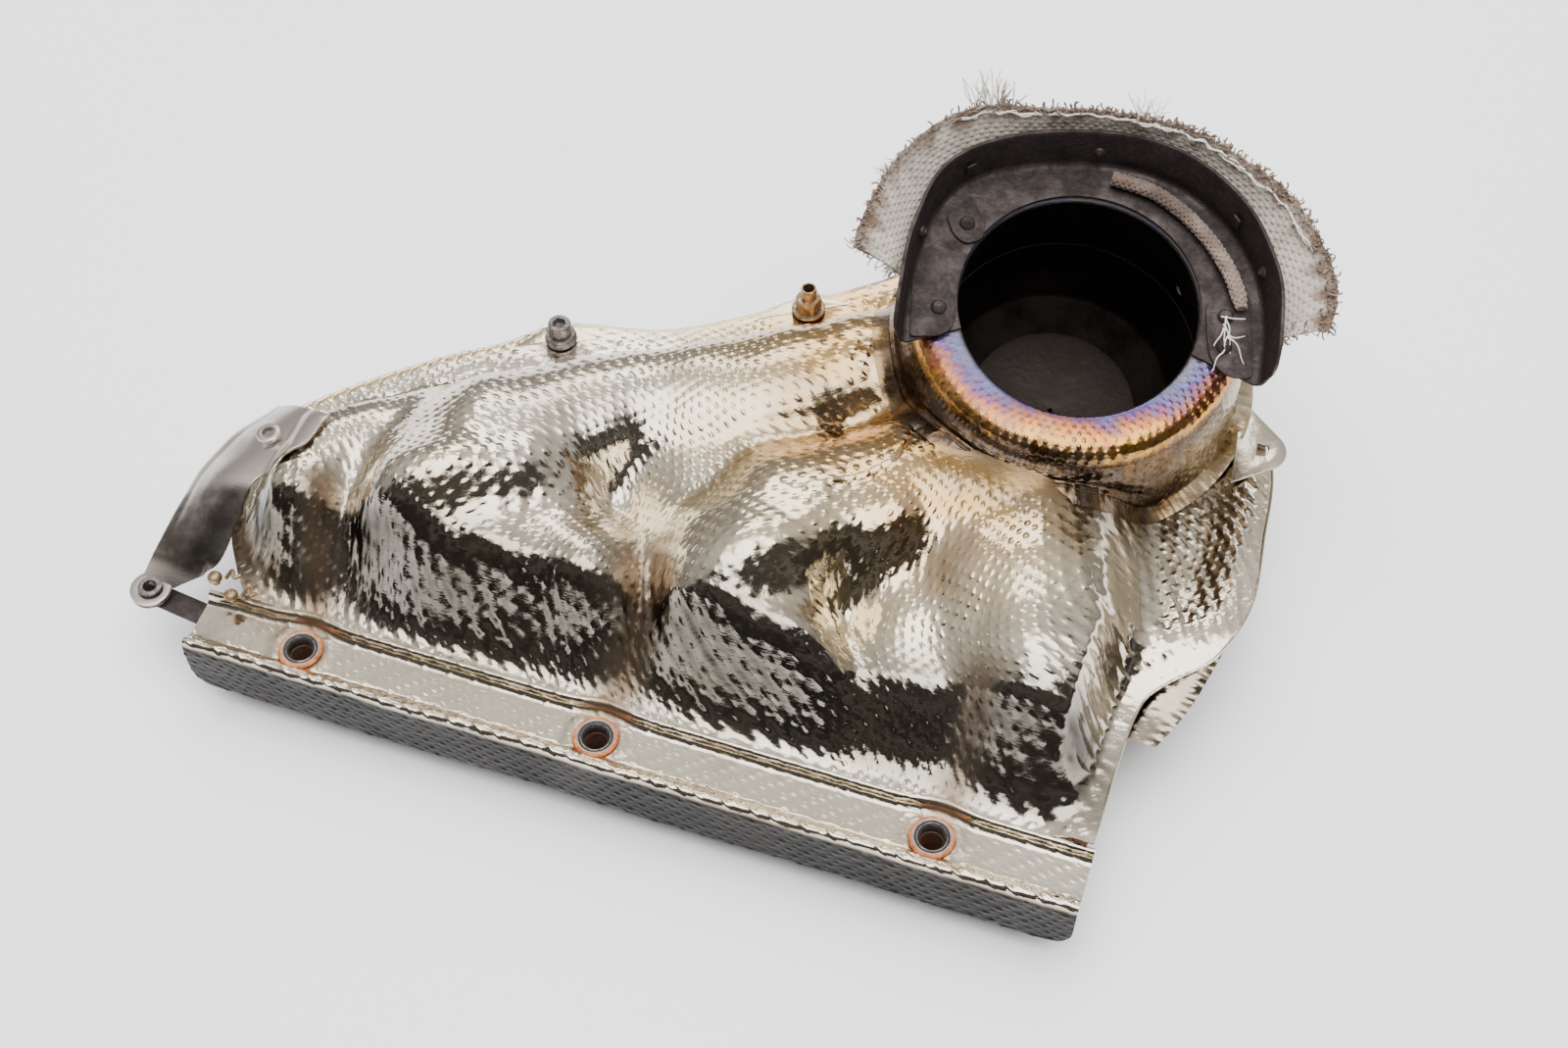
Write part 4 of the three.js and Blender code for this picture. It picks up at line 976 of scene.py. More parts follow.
def shell_pressing(name, left, right, columns):
    """One of the three pressings of the upper shell, between two lines across it."""
    u, v = np.meshgrid(np.linspace(0, 1, columns), np.linspace(0, 1, SHELL_ROWS))
    low, high = through(LEFT_EDGE, v), through(RIGHT_EDGE, v)
    x = mix(through(left, v), through(right, v), u)
    across = (x - low) / (high - low)
    start = shell_start(x)
    y = mix(start, rear_edge(x), v)
    z = skin_height(x, y, across)
    z = z + rim_wave(x) * (1 - smoothstep(0, 7, rear_edge(x) - y))
    gold, stain = tint_of(x, y, z)
    gold_rim = 0.75 * (1 - smoothstep(0, 10, rear_edge(x) - y)) * (1 - smoothstep(-100, -40, x))
    gold = np.maximum(gold, gold_rim)
    points = np.stack([x, y, z], -1)
    faces = remove_faces(grid_faces(SHELL_ROWS, columns), points, shell_opening)
    a, b = flow(x, y)
    piece = make_piece(name, points, faces, FOIL_SKIN, {
        "along": a, "across": b, "crease": crease_of(x, y, across), "calm": hem_calm(x, y, across),
        "gold": gold, "stain": stain, "shade": shade_of(x, y, z)})
    press(piece, Dimple_depth=0.26, Wrinkle_depth=0.9, Dent_depth=0.5)
    return place(piece, "embossed_foil", "upper_shield")


shell_pressing("shield_left_pressing", LEFT_EDGE, FIRST_PART, 176)
shell_pressing("shield_middle_pressing", FIRST_PART, SECOND_PART, 146)
shell_pressing("shield_right_pressing", SECOND_PART, RIGHT_EDGE, 64)


def rail_profile():
    """Section of the bolt rail from the skirt's lower edge, over the rolled crest, to the shell's foot."""
    corner = [(RAIL_FRONT, RAIL_SKIRT), (RAIL_FRONT, 38.6), (-41.6, 40.9), (-40.4, 42.5), (-38.9, 42.8),
              (-37.3, 41.9), (-35.6, 40.3), (-33.5, RAIL_FLOOR), (-19.6, RAIL_FLOOR), (-18.0, 41.2),
              (-17.0, 43.4), (-16.0, RAIL_RIDGE), (SHELL_START, RAIL_RIDGE)]
    skirt, channel = np.linspace(corner[0], corner[1], 22), np.linspace(corner[7], corner[8], 12)
    return np.vstack([skirt[:-1], smooth_line(corner[1:8], 16)[:-1], channel[:-1],
                      smooth_line(corner[8:], 12)])


def rail_skin():
    profile = rail_profile()
    columns = 300
    u, k = np.meshgrid(np.linspace(0, 1, columns), np.arange(len(profile)))
    y, z = profile[k, 0], profile[k, 1]
    drop = np.clip((RAIL_CREST - z) / (RAIL_CREST - RAIL_SKIRT), 0, 1) * (y < -38)
    inset = 9 * (1 - np.sqrt(np.clip(1 - (np.clip(drop - 0.62, 0, 1) / 0.38) ** 2, 0, 1)))
    x = mix(RAIL_ENDS[0] + inset, RAIL_ENDS[1] - inset, u)
    behind = smoothstep(-22, -15, y)
    y = y + (shell_start(x) - SHELL_START) * behind
    roll = smoothstep(34, 42, z) * (y < -36)
    y = y + 0.5 * ripple(x, z * 3, 31, 90) * roll
    z = z + 0.5 * ripple(x, y, 32, 120) * roll - 0.8 * ripple(x, y, 33, 160) * (z < 20)
    ends = 1 - smoothstep(0, 16, x - RAIL_ENDS[0])
    z = z - 1.2 * ends * smoothstep(34, 40, z) * smoothstep(-42, -30, y)
    for g in GROMMET_X:
        z = z + 0.7 * np.exp(-((np.hypot(x - g, y - GROMMET_Y) - 11) / 2.4) ** 2) * (np.abs(y + 29) < 9)
    points = np.stack([x, y, z], -1)
    faces = remove_faces(grid_faces(len(profile), columns), points, lambda a, b, c: (
        (np.minimum.reduce([np.hypot(a - g, b - GROMMET_Y) for g in GROMMET_X]) < 7.2) & (c > 30)))
    gold, stain = tint_of(x, y, z)
    skirt = smoothstep(1, 4, RAIL_CREST - z) * (y < -40.5)
    for g in GROMMET_X:
        stain = np.maximum(stain, 0.55 * np.exp(-((np.hypot(x - g, y - GROMMET_Y) - 9) / 5) ** 2))
    # Painted shade: the skirt is darkened through both its stain and its shade value.
    stain = np.maximum(stain, 0.8 * skirt)
    gold = np.maximum(gold * 0.6, 0.2)
    a, b = x * 0.9 + (y + z) * 0.45, (y - z) + x * 0.18
    calm = 0.4 + 1.0 * np.maximum(skirt, smoothstep(39.5, 41.5, z) * (y < -36))
    piece = make_piece("rail_skin", points, faces, FOIL_SKIN, {
        "along": a, "across": b, "crease": 0.45 * skirt + 0.1, "calm": calm, "gold": gold, "stain": stain,
        "shade": skirt})
    press(piece, Dimple_depth=0.3, Wrinkle_depth=0.35, Dent_depth=0.5)
    return place(piece, "embossed_foil")


rail_skin()


def tower_skin():
    """Turned-in lip, flat ring, shoulder and leaning wall, spreading onto the shell at its foot."""
    columns = 420
    start_r, start_z = TOWER_SHOULDER, -7.0
    angle = np.linspace(0, 2 * math.pi, columns, endpoint=False)

    def depth_at(radius):
        """How far below the ring's plane the shell lies, at a radius and each angle."""
        depth = np.full(columns, 20.0)
        for _ in range(30):
            p = tower_place(radius * np.cos(angle), radius * np.sin(angle), -depth)
            across = np.clip((p[:, 0] - SHELL_LEFT) / SHELL_WIDEST, 0, 1)
            depth = depth + (p[:, 2] - skin_height(p[:, 0], p[:, 1], across)) * 0.7
        return depth

    lip = smooth_line([(TOWER_HOLE, -2.6), (49.4, -0.9), (50.6, -0.1), (52.4, 0), (59, -0.1), (63, -0.9),
                       (66.6, -3.2), (start_r, start_z)], 26)
    rows = [(np.full(columns, r), np.full(columns, z)) for r, z in lip]
    foot = np.maximum(depth_at(TOWER_BASE + 1), 12)
    spread = TOWER_BASE + 8.5
    rim = np.maximum(depth_at(spread), 12) - 0.7
    corner_z = -(foot - 0.6)
    for t in np.linspace(0, 1, 44)[1:]:
        wall_z = mix(start_z, corner_z, t)
        wall_r = mix(start_r, TOWER_BASE - 0.4, smoothstep(0, 0.5, t) * 0.75 + 0.25 * t)
        blend = smoothstep(0.55, 1.0, t)
        rows.append((wall_r + 2.2 * blend**2, wall_z + 2.6 * blend**3 * (1 - 0.4 * t)))
    last_r, last_z = rows[-1]
    for t in np.linspace(0, 1, 12)[1:]:
        swing = math.sin(t * math.pi / 2)
        rows.append((mix(last_r, spread, t), mix(last_z, -rim, swing)))
    r = np.array([np.broadcast_to(row[0], columns) for row in rows])[::-1]
    z = np.array([np.broadcast_to(row[1], columns) for row in rows])[::-1]
    count = len(rows)
    theta = np.broadcast_to(angle, r.shape)
    points = tower_place(r * np.cos(theta), r * np.sin(theta), z)
    down = np.clip((-z - 3) / np.maximum(foot - 3, 8), 0, 1.2)
    front = np.cos(theta + math.pi / 2)
    ring = np.clip((r - TOWER_HOLE) / (TOWER_SHOULDER - TOWER_HOLE), 0, 1)
    hot = 0.88 - 0.37 * ring - 0.03 * np.cos(theta - math.radians(215)) + 0.05 * (1 - np.abs(front))
    for middle, width, drop in ((262, 0.5, 0.10), (300, 0.3, 0.05)):
        hot = hot - drop * np.exp(-((theta - math.radians(middle)) / width) ** 2)
    side = smoothstep(0.5, 0.95, np.cos(theta - math.radians(350)))
    west = smoothstep(0.2, 0.9, np.cos(theta - math.radians(190)))
    upper_heat = mix(0.42, 0.34, smoothstep(0, 0.5, down))
    lower_heat = mix(0.33, 0.27, smoothstep(0.5, 1.1, down))
    wall_heat = mix(upper_heat, lower_heat, smoothstep(0.4, 0.9, down))
    wall_heat = mix(wall_heat, 0.14, side * smoothstep(0.05, 0.4, down))
    wall_heat = mix(wall_heat, mix(0.44, 0.26, smoothstep(0.1, 0.9, down)), west)
    wall = smoothstep(-5.5, -9, z)
    heat = mix(hot, wall_heat, smoothstep(-4.2, -9.5, z))
    calm = mix(0.25, 1.0, smoothstep(50.5, 56, r)) * smoothstep(0.0, 0.5, 1.25 - down)
    calm = calm * mix(0.35, 1.0, smoothstep(math.radians(215), math.radians(245), theta))
    along = mix(r, -z, wall)
    around = theta * WALL_RADIUS
    piece = make_piece("tower_skin", points, grid_faces(count, columns, wrap=True), TOWER_SKIN, {
        "along": along * 1.1, "across": around, "crease": wall * 0.75, "calm": calm, "temper": heat,
        "round": around * 0.22, "down": along * 0.03,
        "wall": wall * (1 - 0.75 * side) * (1 - smoothstep(0.75, 1.1, down))})
    press(piece, Dimple_depth=0.28, Wrinkle_depth=0.8, Dent_depth=0.3, Pitch=AROUND_PITCH,
          Dimple_length=TOWER_EMBOSS_LENGTH)
    return place(piece, "heat_tinted_foil", "port_tower")


tower_skin()


# ---------- lower shell ----------
TRAY_FRONT = 37
TRAY_LEFT = [(0, -182), (0.2, -186), (0.5, -189), (1, -187)]
TRAY_RIGHT = [(0, 202), (0.1, 209), (0.2, 214), (0.35, 219), (0.6, 221), (0.8, 220), (1, 213)]


def lower_skin():
    """Tray under the runners, deepest under the collector, with a crimped rim."""
    columns, rows, drop, span = 250, 140, 2.6, 400
    u, v = np.meshgrid(np.linspace(0, 1, columns), np.linspace(0, 1, rows))
    x = mix(through(TRAY_LEFT, v), through(TRAY_RIGHT, v), u)
    y = mix(TRAY_FRONT, rear_edge(x) - 1, v)
    back = rear_edge(x) - y
    pool = 1 - smoothstep(40, 95, np.hypot(x - 115, y - 175))
    floor = mix(6, 1.4, pool)
    rear = mix(SEAM_Z - drop, floor, smoothstep(9, 36, back))
    left = mix(left_rim(y) - drop, rear, smoothstep(4, 24, u * span))
    z = mix(right_rim(y) - drop - 2, left, smoothstep(14, 40, (1 - u) * span))
    from_right = (1 - u) * span
    rim = 1 - smoothstep(1.5, 6.5, from_right)
    z = z + 0.7 * rim * np.sin(y * 2 * math.pi / 4.6 + 1.5 * ripple(x, y, 41, 30)) - 0.5 * rim
    swell = 0.5 * ripple(x, y, 42, 70) * (1 - pool)
    z = z + swell * smoothstep(4, 20, from_right) * smoothstep(4, 20, back)
    calm = smoothstep(1, 10, back) * smoothstep(4, 14, from_right) * smoothstep(0, 2, z - 1.5)
    a, b = flow(x, y)
    quarter = np.full(x.shape, 0.25)
    # Painted shade: the tray's shade value darkens all of it by a quarter.
    piece = make_piece("lower_skin", np.stack([x, y, z], -1), grid_faces(rows, columns), LOWER_SKIN, {
        "along": a, "across": b, "crease": quarter, "calm": calm, "gold": quarter,
        "stain": 0.35 + 0.2 * ripple(x, y, 43, 80), "shade": quarter})
    press(piece, Dimple_depth=0.3, Wrinkle_depth=0.4, Dent_depth=0.5)
    return place(piece, "dark_foil", "lower_shield")


lower_skin()


# ---------- rims, lugs and seats of the shield ----------
LUG_Z = SEAM_Z - 0.35


def lug_plate(name, centre, radius, toward, thick, hole, gold):
    """A flat lug: a disc run out tangentially onto the flange at two points, with a hole."""
    centre = np.array(centre, float)
    ends = [np.array(p, float) for p in toward]
    start = math.atan2(*(ends[0] - centre)[::-1]) + math.acos(radius / np.linalg.norm(ends[0] - centre))
    stop = math.atan2(*(ends[1] - centre)[::-1]) - math.acos(radius / np.linalg.norm(ends[1] - centre))
    while stop < start:
        stop += 2 * math.pi
    arc = np.linspace(start, stop, 30)
    outer = np.vstack([ends[0], centre + radius * np.column_stack([np.cos(arc), np.sin(arc)]), ends[1]])
    count = len(outer)
    spin = np.array([math.atan2(*(p - centre)[::-1]) for p in outer])
    inner = centre + hole * np.column_stack([np.cos(spin), np.sin(spin)])
    levels = []
    for z in (LUG_Z, LUG_Z + thick):
        levels += [np.column_stack([outer, np.full(count, z)]), np.column_stack([inner, np.full(count, z)])]
    faces = []
    for k in range(count):
        n = (k + 1) % count
        o0, i0, o1, i1 = 0, count, 2 * count, 3 * count
        faces += [(o1 + k, o1 + n, i1 + n, i1 + k), (o0 + n, o0 + k, i0 + k, i0 + n),
                  (o0 + k, o0 + n, o1 + n, o1 + k), (i0 + n, i0 + k, i1 + k, i1 + n)]
    piece = make_piece(name, np.vstack(levels), faces, FOIL_SKIN, {
        "gold": np.full(4 * count, gold), "stain": np.full(4 * count, 0.2)})
    soften(piece, 0.35)
    settle(piece)
    return place(piece, "embossed_foil")


lug_plate("cap_screw_lug", CAP_SCREW, 9, ((-76, 149), (-110, 133)), 0.7, 3.4, gold=0.55)
lug_plate("collar_nut_lug", COLLAR_NUT, 9, ((22, 203), (-14, 182)), 0.7, 3.4, gold=0.55)
lug_plate("right_lug", LUG, 11, ((203, 160), (199, 205)), 0.8, 3.6, gold=0.05)


def rolled_hem():
    """Rolled-over edge of the upper shell along its rear and right rims."""
    x = np.linspace(-186, 40, 260)
    rear = np.column_stack([x, rear_edge(x) - 0.3, SEAM_Z - 0.3 + rim_wave(x)])
    v = np.linspace(0.06, 0.97, 300)
    right_x = through(RIGHT_EDGE, v)
    right_y = mix(shell_start(right_x), rear_edge(right_x), v)
    right_z = skin_height(right_x, right_y, np.ones_like(v)) - 0.35
    right = np.column_stack([right_x - 0.3, right_y, right_z])
    width = 0.75 + 0.12 * ripple(rear[:, 0], rear[:, 1], 51, 12)
    points, faces = gather([tube(rear, width, 8), tube(right, 0.7, 8)])
    piece = make_piece("rolled_hem", points, faces, FOIL_SKIN, {
        "gold": 0.7 * (points[:, 0] < 60), "stain": np.full(len(points), 0.15)})
    return place(settle(piece), "embossed_foil")


rolled_hem()


# ---------- left end cap and its small parts ----------
CAP_OUTER = [(0, -190, 66, 67), (0.2, -201, 46, 67), (0.4, -207, 28, 64), (0.6, -211, 12, 57),
             (0.8, -216, -2, 46), (1, -218, -15, 39.5)]
CAP_INNER = [(0, -158, 57, 82), (0.2, -161, 41, 82), (0.4, -168, 30, 82), (0.5, -176, 19, 78),
             (0.65, -179, 6, 67), (0.8, -186, -7, 50), (1, -203, -17, 39.5)]
END_LUG = (-212, -20, 38.4)


def end_cap():
    """Satin cap over the shield's left end: domed top, steep front, tapering to a lug."""
    columns, rows = 54, 110
    u, v = np.meshgrid(np.linspace(0, 1, columns), np.linspace(1, 0, rows))
    outer = [through([(r[0], r[k]) for r in CAP_OUTER], v) for k in (1, 2, 3)]
    inner = [through([(r[0], r[k]) for r in CAP_INNER], v) for k in (1, 2, 3)]
    x, y, z = (mix(a, b, u) for a, b in zip(outer, inner))
    dome = 4 * np.sin(math.pi * u) * (1 - smoothstep(0.5, 1, v))
    clearance = 2.4 - 2.4 * np.maximum(0, SHELL_LEFT - x)
    under = shell_height(x, y, np.clip((x - SHELL_LEFT) / SHELL_SPAN, 0, 1)) + clearance
    z = smooth_max(z + dome, under, 3)
    wide = smoothstep(0.44, 0.52, v) * (1 - smoothstep(0.52, 0.60, v))
    z = z + 0.7 * wide * smoothstep(0.2, 0.8, u)
    groove = 0.5 * np.exp(-((u - 0.12) / 0.05) ** 2) * (1 - smoothstep(0.6, 0.8, v))
    z = z + 0.35 * ripple(x, y, 61, 40) - groove
    steep = smoothstep(0.50, 0.56, v) * (1 - smoothstep(0.86, 0.93, v))
    piece = make_piece("end_cap_skin", np.stack([x, y, z], -1), grid_faces(rows, columns), SATIN,
                       {"stain": steep})
    thicken(piece, 0.9)
    soften(piece, 0.25, 2, 60)
    settle(piece)
    place(piece, "satin_sheet", "end_cap")
    lug = make_piece("end_cap_lug", *ring_plate(END_LUG, 8.6, 4.4, 1.2), SATIN)
    soften(lug, 0.4)
    return place(settle(lug), "satin_sheet")


def ring_plate(centre, outer, inner, thick):
    return moved(turned([(inner, 0), (outer, 0), (outer, thick), (inner, thick)], 48), *centre)


def turned_piece(name, profile, centre, material, slot, nodes, sides=40, tilt=None, values=None):
    """A small turned part at a place in the part's frame."""
    points, faces = turned(profile, sides)
    numbers = {key: rule(points) for key, rule in (values or {}).items()}
    if tilt is not None:
        points = points @ np.array(tilt.to_3x3()).T
    piece = make_piece(name, points + np.array(centre), faces, material, numbers)
    piece.data.set_sharp_from_angle(angle=math.radians(38))
    return place(piece, slot, *nodes)


end_cap()
turned_piece("end_lug_eyelet", [(2.6, -2.2), (3.8, -2.2), (3.8, 0.6), (4.9, 0.6), (5.1, 1.0), (4.7, 1.6),
                                (3.6, 1.9), (2.9, 1.7), (2.6, 1.2)],
             (END_LUG[0], END_LUG[1], END_LUG[2] + 1.2), ZINC, "zinc_hardware", ["end_lug_grommet"])
turned_piece("end_lug_ring", [(4.6, 0), (8.2, 0), (8.5, 0.3), (8.5, 1.1), (8.2, 1.4), (4.6, 1.4)],
             (END_LUG[0], END_LUG[1], END_LUG[2] - 1.8), ZINC, "zinc_hardware", ["end_lug_washer"])
turned_piece("cap_tube_rivet", [(2.0, -0.4), (4.9, -0.2), (5.1, 0.5), (4.8, 1.2), (3.7, 1.7), (2.7, 1.5),
                                (2.1, 0.7)],
             (-179, 42, 81.7), SATIN, "satin_sheet", ["end_cap_rivet"], tilt=Matrix.Rotation(-0.1, 4, "Y"),
             values={"stain": lambda p: 0.5 * smoothstep(3.2, 2.0, np.hypot(p[:, 0], p[:, 1]))})


def end_plate():
    """Small bar under the lug, turned a little to follow the end of the rail."""
    outline = rounded([(-11, -5), (36, -5), (36, 5), (-11, 5)], [5, 1, 1, 5], 8)
    turn = np.array(Matrix.Rotation(-0.12, 2))
    piece = make_piece("end_plate_bar", *prism(outline @ turn.T + (-206, -20), 33.8, 35.3), BURNT)
    soften(piece, 0.3)
    return place(settle(piece), "burnt_bracket_steel", "end_plate")


end_plate()
END_SCREWS = [(-183, -13, 50.5), (-174, -17.5, 48)]
for number, (sx, sy, sz) in enumerate(END_SCREWS, 1):
    turned_piece(f"end_stud_{number}", [(0, -3), (1.5, -3), (1.5, 0), (2.8, 0), (3.0, 0.3), (3.0, 1.2),
                                        (2.5, 2.2), (1.4, 2.8), (0, 2.9)],
                 (sx, sy, sz), BRONZE, "bronze_hardware", [f"end_screw_{number}"])
    bend = np.array([(3.6, 2, -1), (5.6, 5, 1.4), (8, 2, 1.5), (10, 4, 1.5)]) + (sx, sy, sz)
    clip = make_piece(f"end_spring_{number}", *tube(smooth_line(bend, 30), 0.8, 10), BRONZE)
    place(settle(clip), "bronze_hardware", f"end_clip_{number}")


# ---------- rail grommets and stand-offs ----------
def rim_of(points):
    return smoothstep(6.6, 8.6, np.hypot(points[:, 0], points[:, 1]))


for number, gx in enumerate(GROMMET_X, 1):
    at = (gx, GROMMET_Y, RAIL_FLOOR)
    turned_piece(f"grommet_flange_{number}", [
        (6.7, -3.4), (7.2, -3.4), (7.2, 0.3), (9.0, 0.4), (9.2, 0.8), (9.0, 1.3), (8.3, 1.75), (7.4, 1.8),
        (6.9, 1.5), (6.7, 1.0)],
        at, RUST, "rusted_grommet", [f"rail_grommet_{number}"], 64, values={"rim": rim_of})
    turned_piece(f"grommet_sleeve_{number}", [
        (4.6, -2.6), (6.4, -2.6), (6.5, 0.8), (6.3, 1.3), (5.9, 1.45), (5.5, 1.1), (5.0, 0.0), (4.6, -1.4)],
        at, ZINC, "zinc_hardware", [f"rail_sleeve_{number}"], 48)
    turned_piece(f"stand_off_tube_{number}", [
        (4.6, 0.2), (4.8, 0), (6.8, 0), (7.0, 0.2), (7.0, 23.6), (6.8, 23.8), (4.8, 23.8), (4.6, 23.6)],
        (gx, GROMMET_Y, 12.3), BARE_STEEL, "bare_manifold_steel", [f"rail_stand_off_{number}"], 48)


# ---------- rear flange fasteners ----------
turned_piece("cap_screw_seat", [(3.2, 0), (6.8, 0), (7.0, 0.2), (7.0, 1.5), (6.7, 1.8), (5.7, 2.5),
                                (3.2, 2.6)],
             (*CAP_SCREW, SEAM_Z + 0.4), ZINC, "zinc_hardware", ["cap_screw_bush"])
turned_piece("cap_screw_ring", [(3.2, 0), (6.2, 0), (6.4, 0.2), (6.4, 1.0), (6.2, 1.2), (3.2, 1.2)],
             (*CAP_SCREW, SEAM_Z + 3.2), ZINC, "zinc_hardware", ["cap_screw_washer"])
turned_piece("collar_nut_seat", [(2.7, 0), (7.1, 0), (7.4, 0.3), (7.4, 1.0), (7.1, 1.3), (2.7, 1.3)],
             (*COLLAR_NUT, SEAM_Z + 0.9), BRONZE, "bronze_hardware", ["collar_nut_washer"])


def hex_ring(radius, turn, steps):
    """Corners of a hexagon, each flat divided into steps."""
    angles = [turn + k * math.pi / 3 for k in range(6)]
    corners = [(radius * math.cos(a), radius * math.sin(a)) for a in angles]
    ring = []
    for a, b in zip(corners, corners[1:] + corners[:1]):
        ring += [(mix(a[0], b[0], s / steps), mix(a[1], b[1], s / steps)) for s in range(steps)]
    return np.array(ring)


def loft(rings):
    """Points and faces of a closed body through [ring, height] pairs, from its bore round to it again."""
    count = len(rings[0][0])
    points = np.vstack([np.column_stack([ring, np.full(count, z)]) for ring, z in rings])
    faces = []
    for k in range(len(rings)):
        low, high = k * count, ((k + 1) % len(rings)) * count
        faces += [(low + i, low + (i + 1) % count, high + (i + 1) % count, high + i) for i in range(count)]
    return points, faces


def circle(radius, count):
    a = np.linspace(0, 2 * math.pi, count, endpoint=False)
    return np.column_stack([radius * np.cos(a), radius * np.sin(a)])


def socket_screw():
    """Cap screw with a hexagon socket; its head is knurled and its edges are rounded."""
    n = 48
    knurl = circle(1, n) * (1 + 0.012 * np.cos(np.arange(n) * math.pi))[:, None]
    socket = hex_ring(2.9, 0, 8)
    deep = socket * 0.02
    rings = [(deep, 3.0), (socket, 3.2), (socket, 5.7), (socket * 1.08, 6.0), (circle(4.5, n), 6.0),
             (knurl * 4.9, 5.6), (knurl * 5.0, 5.2), (knurl * 5.0, 0.4), (circle(4.7, n), 0),
             (circle(2.9, n), 0), (circle(2.9, n), -13.6), (circle(2.5, n), -14), (deep, -14)]
    points, faces = loft(rings[::-1])
    piece = make_piece("socket_screw", points + (*CAP_SCREW, SEAM_Z + 4.8), faces, ZINC)
    piece.data.set_sharp_from_angle(angle=math.radians(32))
    return place(piece, "zinc_hardware", "cap_screw")


def collar_nut():
    """Hexagon nut with a tall collar and an open bore."""
    n = 48
    flat = hex_ring(5.77, 0.2, 8)
    crown = np.minimum(1, 5.45 / np.linalg.norm(flat, axis=1))[:, None]
    rings = [(circle(2.5, n), 0), (flat * crown, 0), (flat, 0.5), (flat, 5.9), (flat * crown, 6.5),
             (circle(3.5, n), 6.5), (circle(3.4, n), 7.0), (circle(3.4, n), 12.2), (circle(3.2, n), 12.5),
             (circle(2.6, n), 12.5), (circle(2.5, n), 12.2)]
    points, faces = loft(rings)
    piece = make_piece("collar_nut_body", points + (*COLLAR_NUT, SEAM_Z + 2.5), faces, BRONZE)
    piece.data.set_sharp_from_angle(angle=math.radians(32))
    return place(piece, "bronze_hardware", "collar_nut")


socket_screw()
collar_nut()

# ---------- bracket round the rear of the outlet ----------
WALL_POINTS = [(-73, -17), (-70.5, 2), (-64.5, 25), (-57, 43), (-47, 54), (-31, 61.5), (0, 65), (28, 61),
               (50, 49), (66, 29), (74, 5), (74, -16), (70.5, -37)]
WALL_LINE = smooth_line(WALL_POINTS, 400)
BRACKET_INNER, BRACKET_THICK, BRACKET_BEND = 49.6, 1.5, 2.6
WALL_HEIGHT, WALL_FLARE = 21, 2.5


def wall_at(share):
    """Points on the wall's foot line at shares of its length, and the outward direction there."""
    at = np.clip(share, 0, 1) * (len(WALL_LINE) - 1)
    steps = np.arange(len(WALL_LINE))
    along = np.gradient(WALL_LINE, axis=0)
    point = np.stack([np.interp(at, steps, WALL_LINE[:, k]) for k in (0, 1)], -1)
    run = np.stack([np.interp(at, steps, along[:, k]) for k in (0, 1)], -1)
    run = run / np.linalg.norm(run, axis=-1, keepdims=True)
    return point, np.stack([-run[..., 1], run[..., 0]], -1)


def bracket():
    """Plate round the rear of the outlet with an upright wall, pressed from one thick sheet."""
    columns = 240
    share = np.linspace(0, 1, columns)
    point, outward = wall_at(share)
    inner = point / np.linalg.norm(point, axis=1)[:, None] * BRACKET_INNER
    ends = np.minimum(share, 1 - share)
    height = WALL_HEIGHT * mix(0.45, 1, np.sqrt(np.clip(ends / 0.03, 0, 1)))
    rows = []
    for t in np.linspace(0, 1, 9):
        flat = mix(inner, point - outward * BRACKET_BEND, t)
        rows.append(np.column_stack([flat, 0.12 * ripple(flat[:, 0], flat[:, 1], 71, 40)]))
    for t in np.linspace(0, 1, 7)[1:]:
        a = t * math.pi / 2
        bent = point - outward * (BRACKET_BEND * (1 - math.sin(a)))
        rows.append(np.column_stack([bent, np.full(columns, BRACKET_BEND * (1 - math.cos(a)))]))
    for t in np.linspace(0, 1, 10)[1:]:
        out = WALL_FLARE * t
        z = mix(BRACKET_BEND, height, t)
        wave = 0.35 * ripple(share * 300, np.full(columns, t * 8), 72, 60) * t
        rows.append(np.column_stack([point + outward * (out + wave)[:, None], z]))
    grid = np.array(rows)
    grid[..., 2] += PLATE_TOP
    piece = make_piece("outlet_bracket", tower_place(grid[..., 0], grid[..., 1], grid[..., 2]),
                       grid_faces(len(rows), columns), BURNT)
    thicken(piece, BRACKET_THICK)
    soften(piece, 0.35, 2, 50)
    return place(settle(piece, 50), "burnt_bracket_steel", "port_bracket")


bracket()
# Outline of each riveted tab, with the rounding of each corner.
TABS = {
    "tab_left": ([(-67.8, 9), (-58, 9.5), (-51.5, 5), (-50.3, -4), (-52.5, -12.5), (-58, -15.5),
                  (-69.5, -15.5)], [1, 3, 5, 6, 7, 6, 2]),
    "tab_rear_left": ([(-53, 39.5), (-50.5, 31), (-46, 26.5), (-38, 28.5), (-37.5, 36), (-39, 41.5),
                       (-42.5, 49)], [2, 4, 6, 6, 5, 4, 2]),
    "tab_right": ([(69.5, 2), (56, 3.5), (51.0, -2), (50.3, -14), (51, -26), (57, -34), (67.5, -34.5)],
                  [2, 4, 7, 7, 10, 9, 3]),
}
for name, (outline, corners) in TABS.items():
    shape = rounded(outline, corners, 7)
    area = np.sum(shape[:, 0] * np.roll(shape[:, 1], -1) - np.roll(shape[:, 0], -1) * shape[:, 1])
    shape = shape if area > 0 else shape[::-1]
    tab = make_piece(name + "_plate", *on_tower(prism(shape, PLATE_TOP + 0.3, PLATE_TOP + 1.5)), BURNT)
    soften(tab, 0.3)
    place(settle(tab), "burnt_bracket_steel", name)


def on_points(t, given, settings):
    """Sets a small shape on every point of the tree's geometry, in the tree's own finish."""
    spots = t.node("GeometryNodeInstanceOnPoints", {"Points": given["Geometry"], **settings}).outputs[0]
    real = t.node("GeometryNodeRealizeInstances", {"Geometry": spots}).outputs[0]
    return t.node("GeometryNodeSetMaterial", {"Geometry": real, "Material": given["Finish"]}).outputs[0]


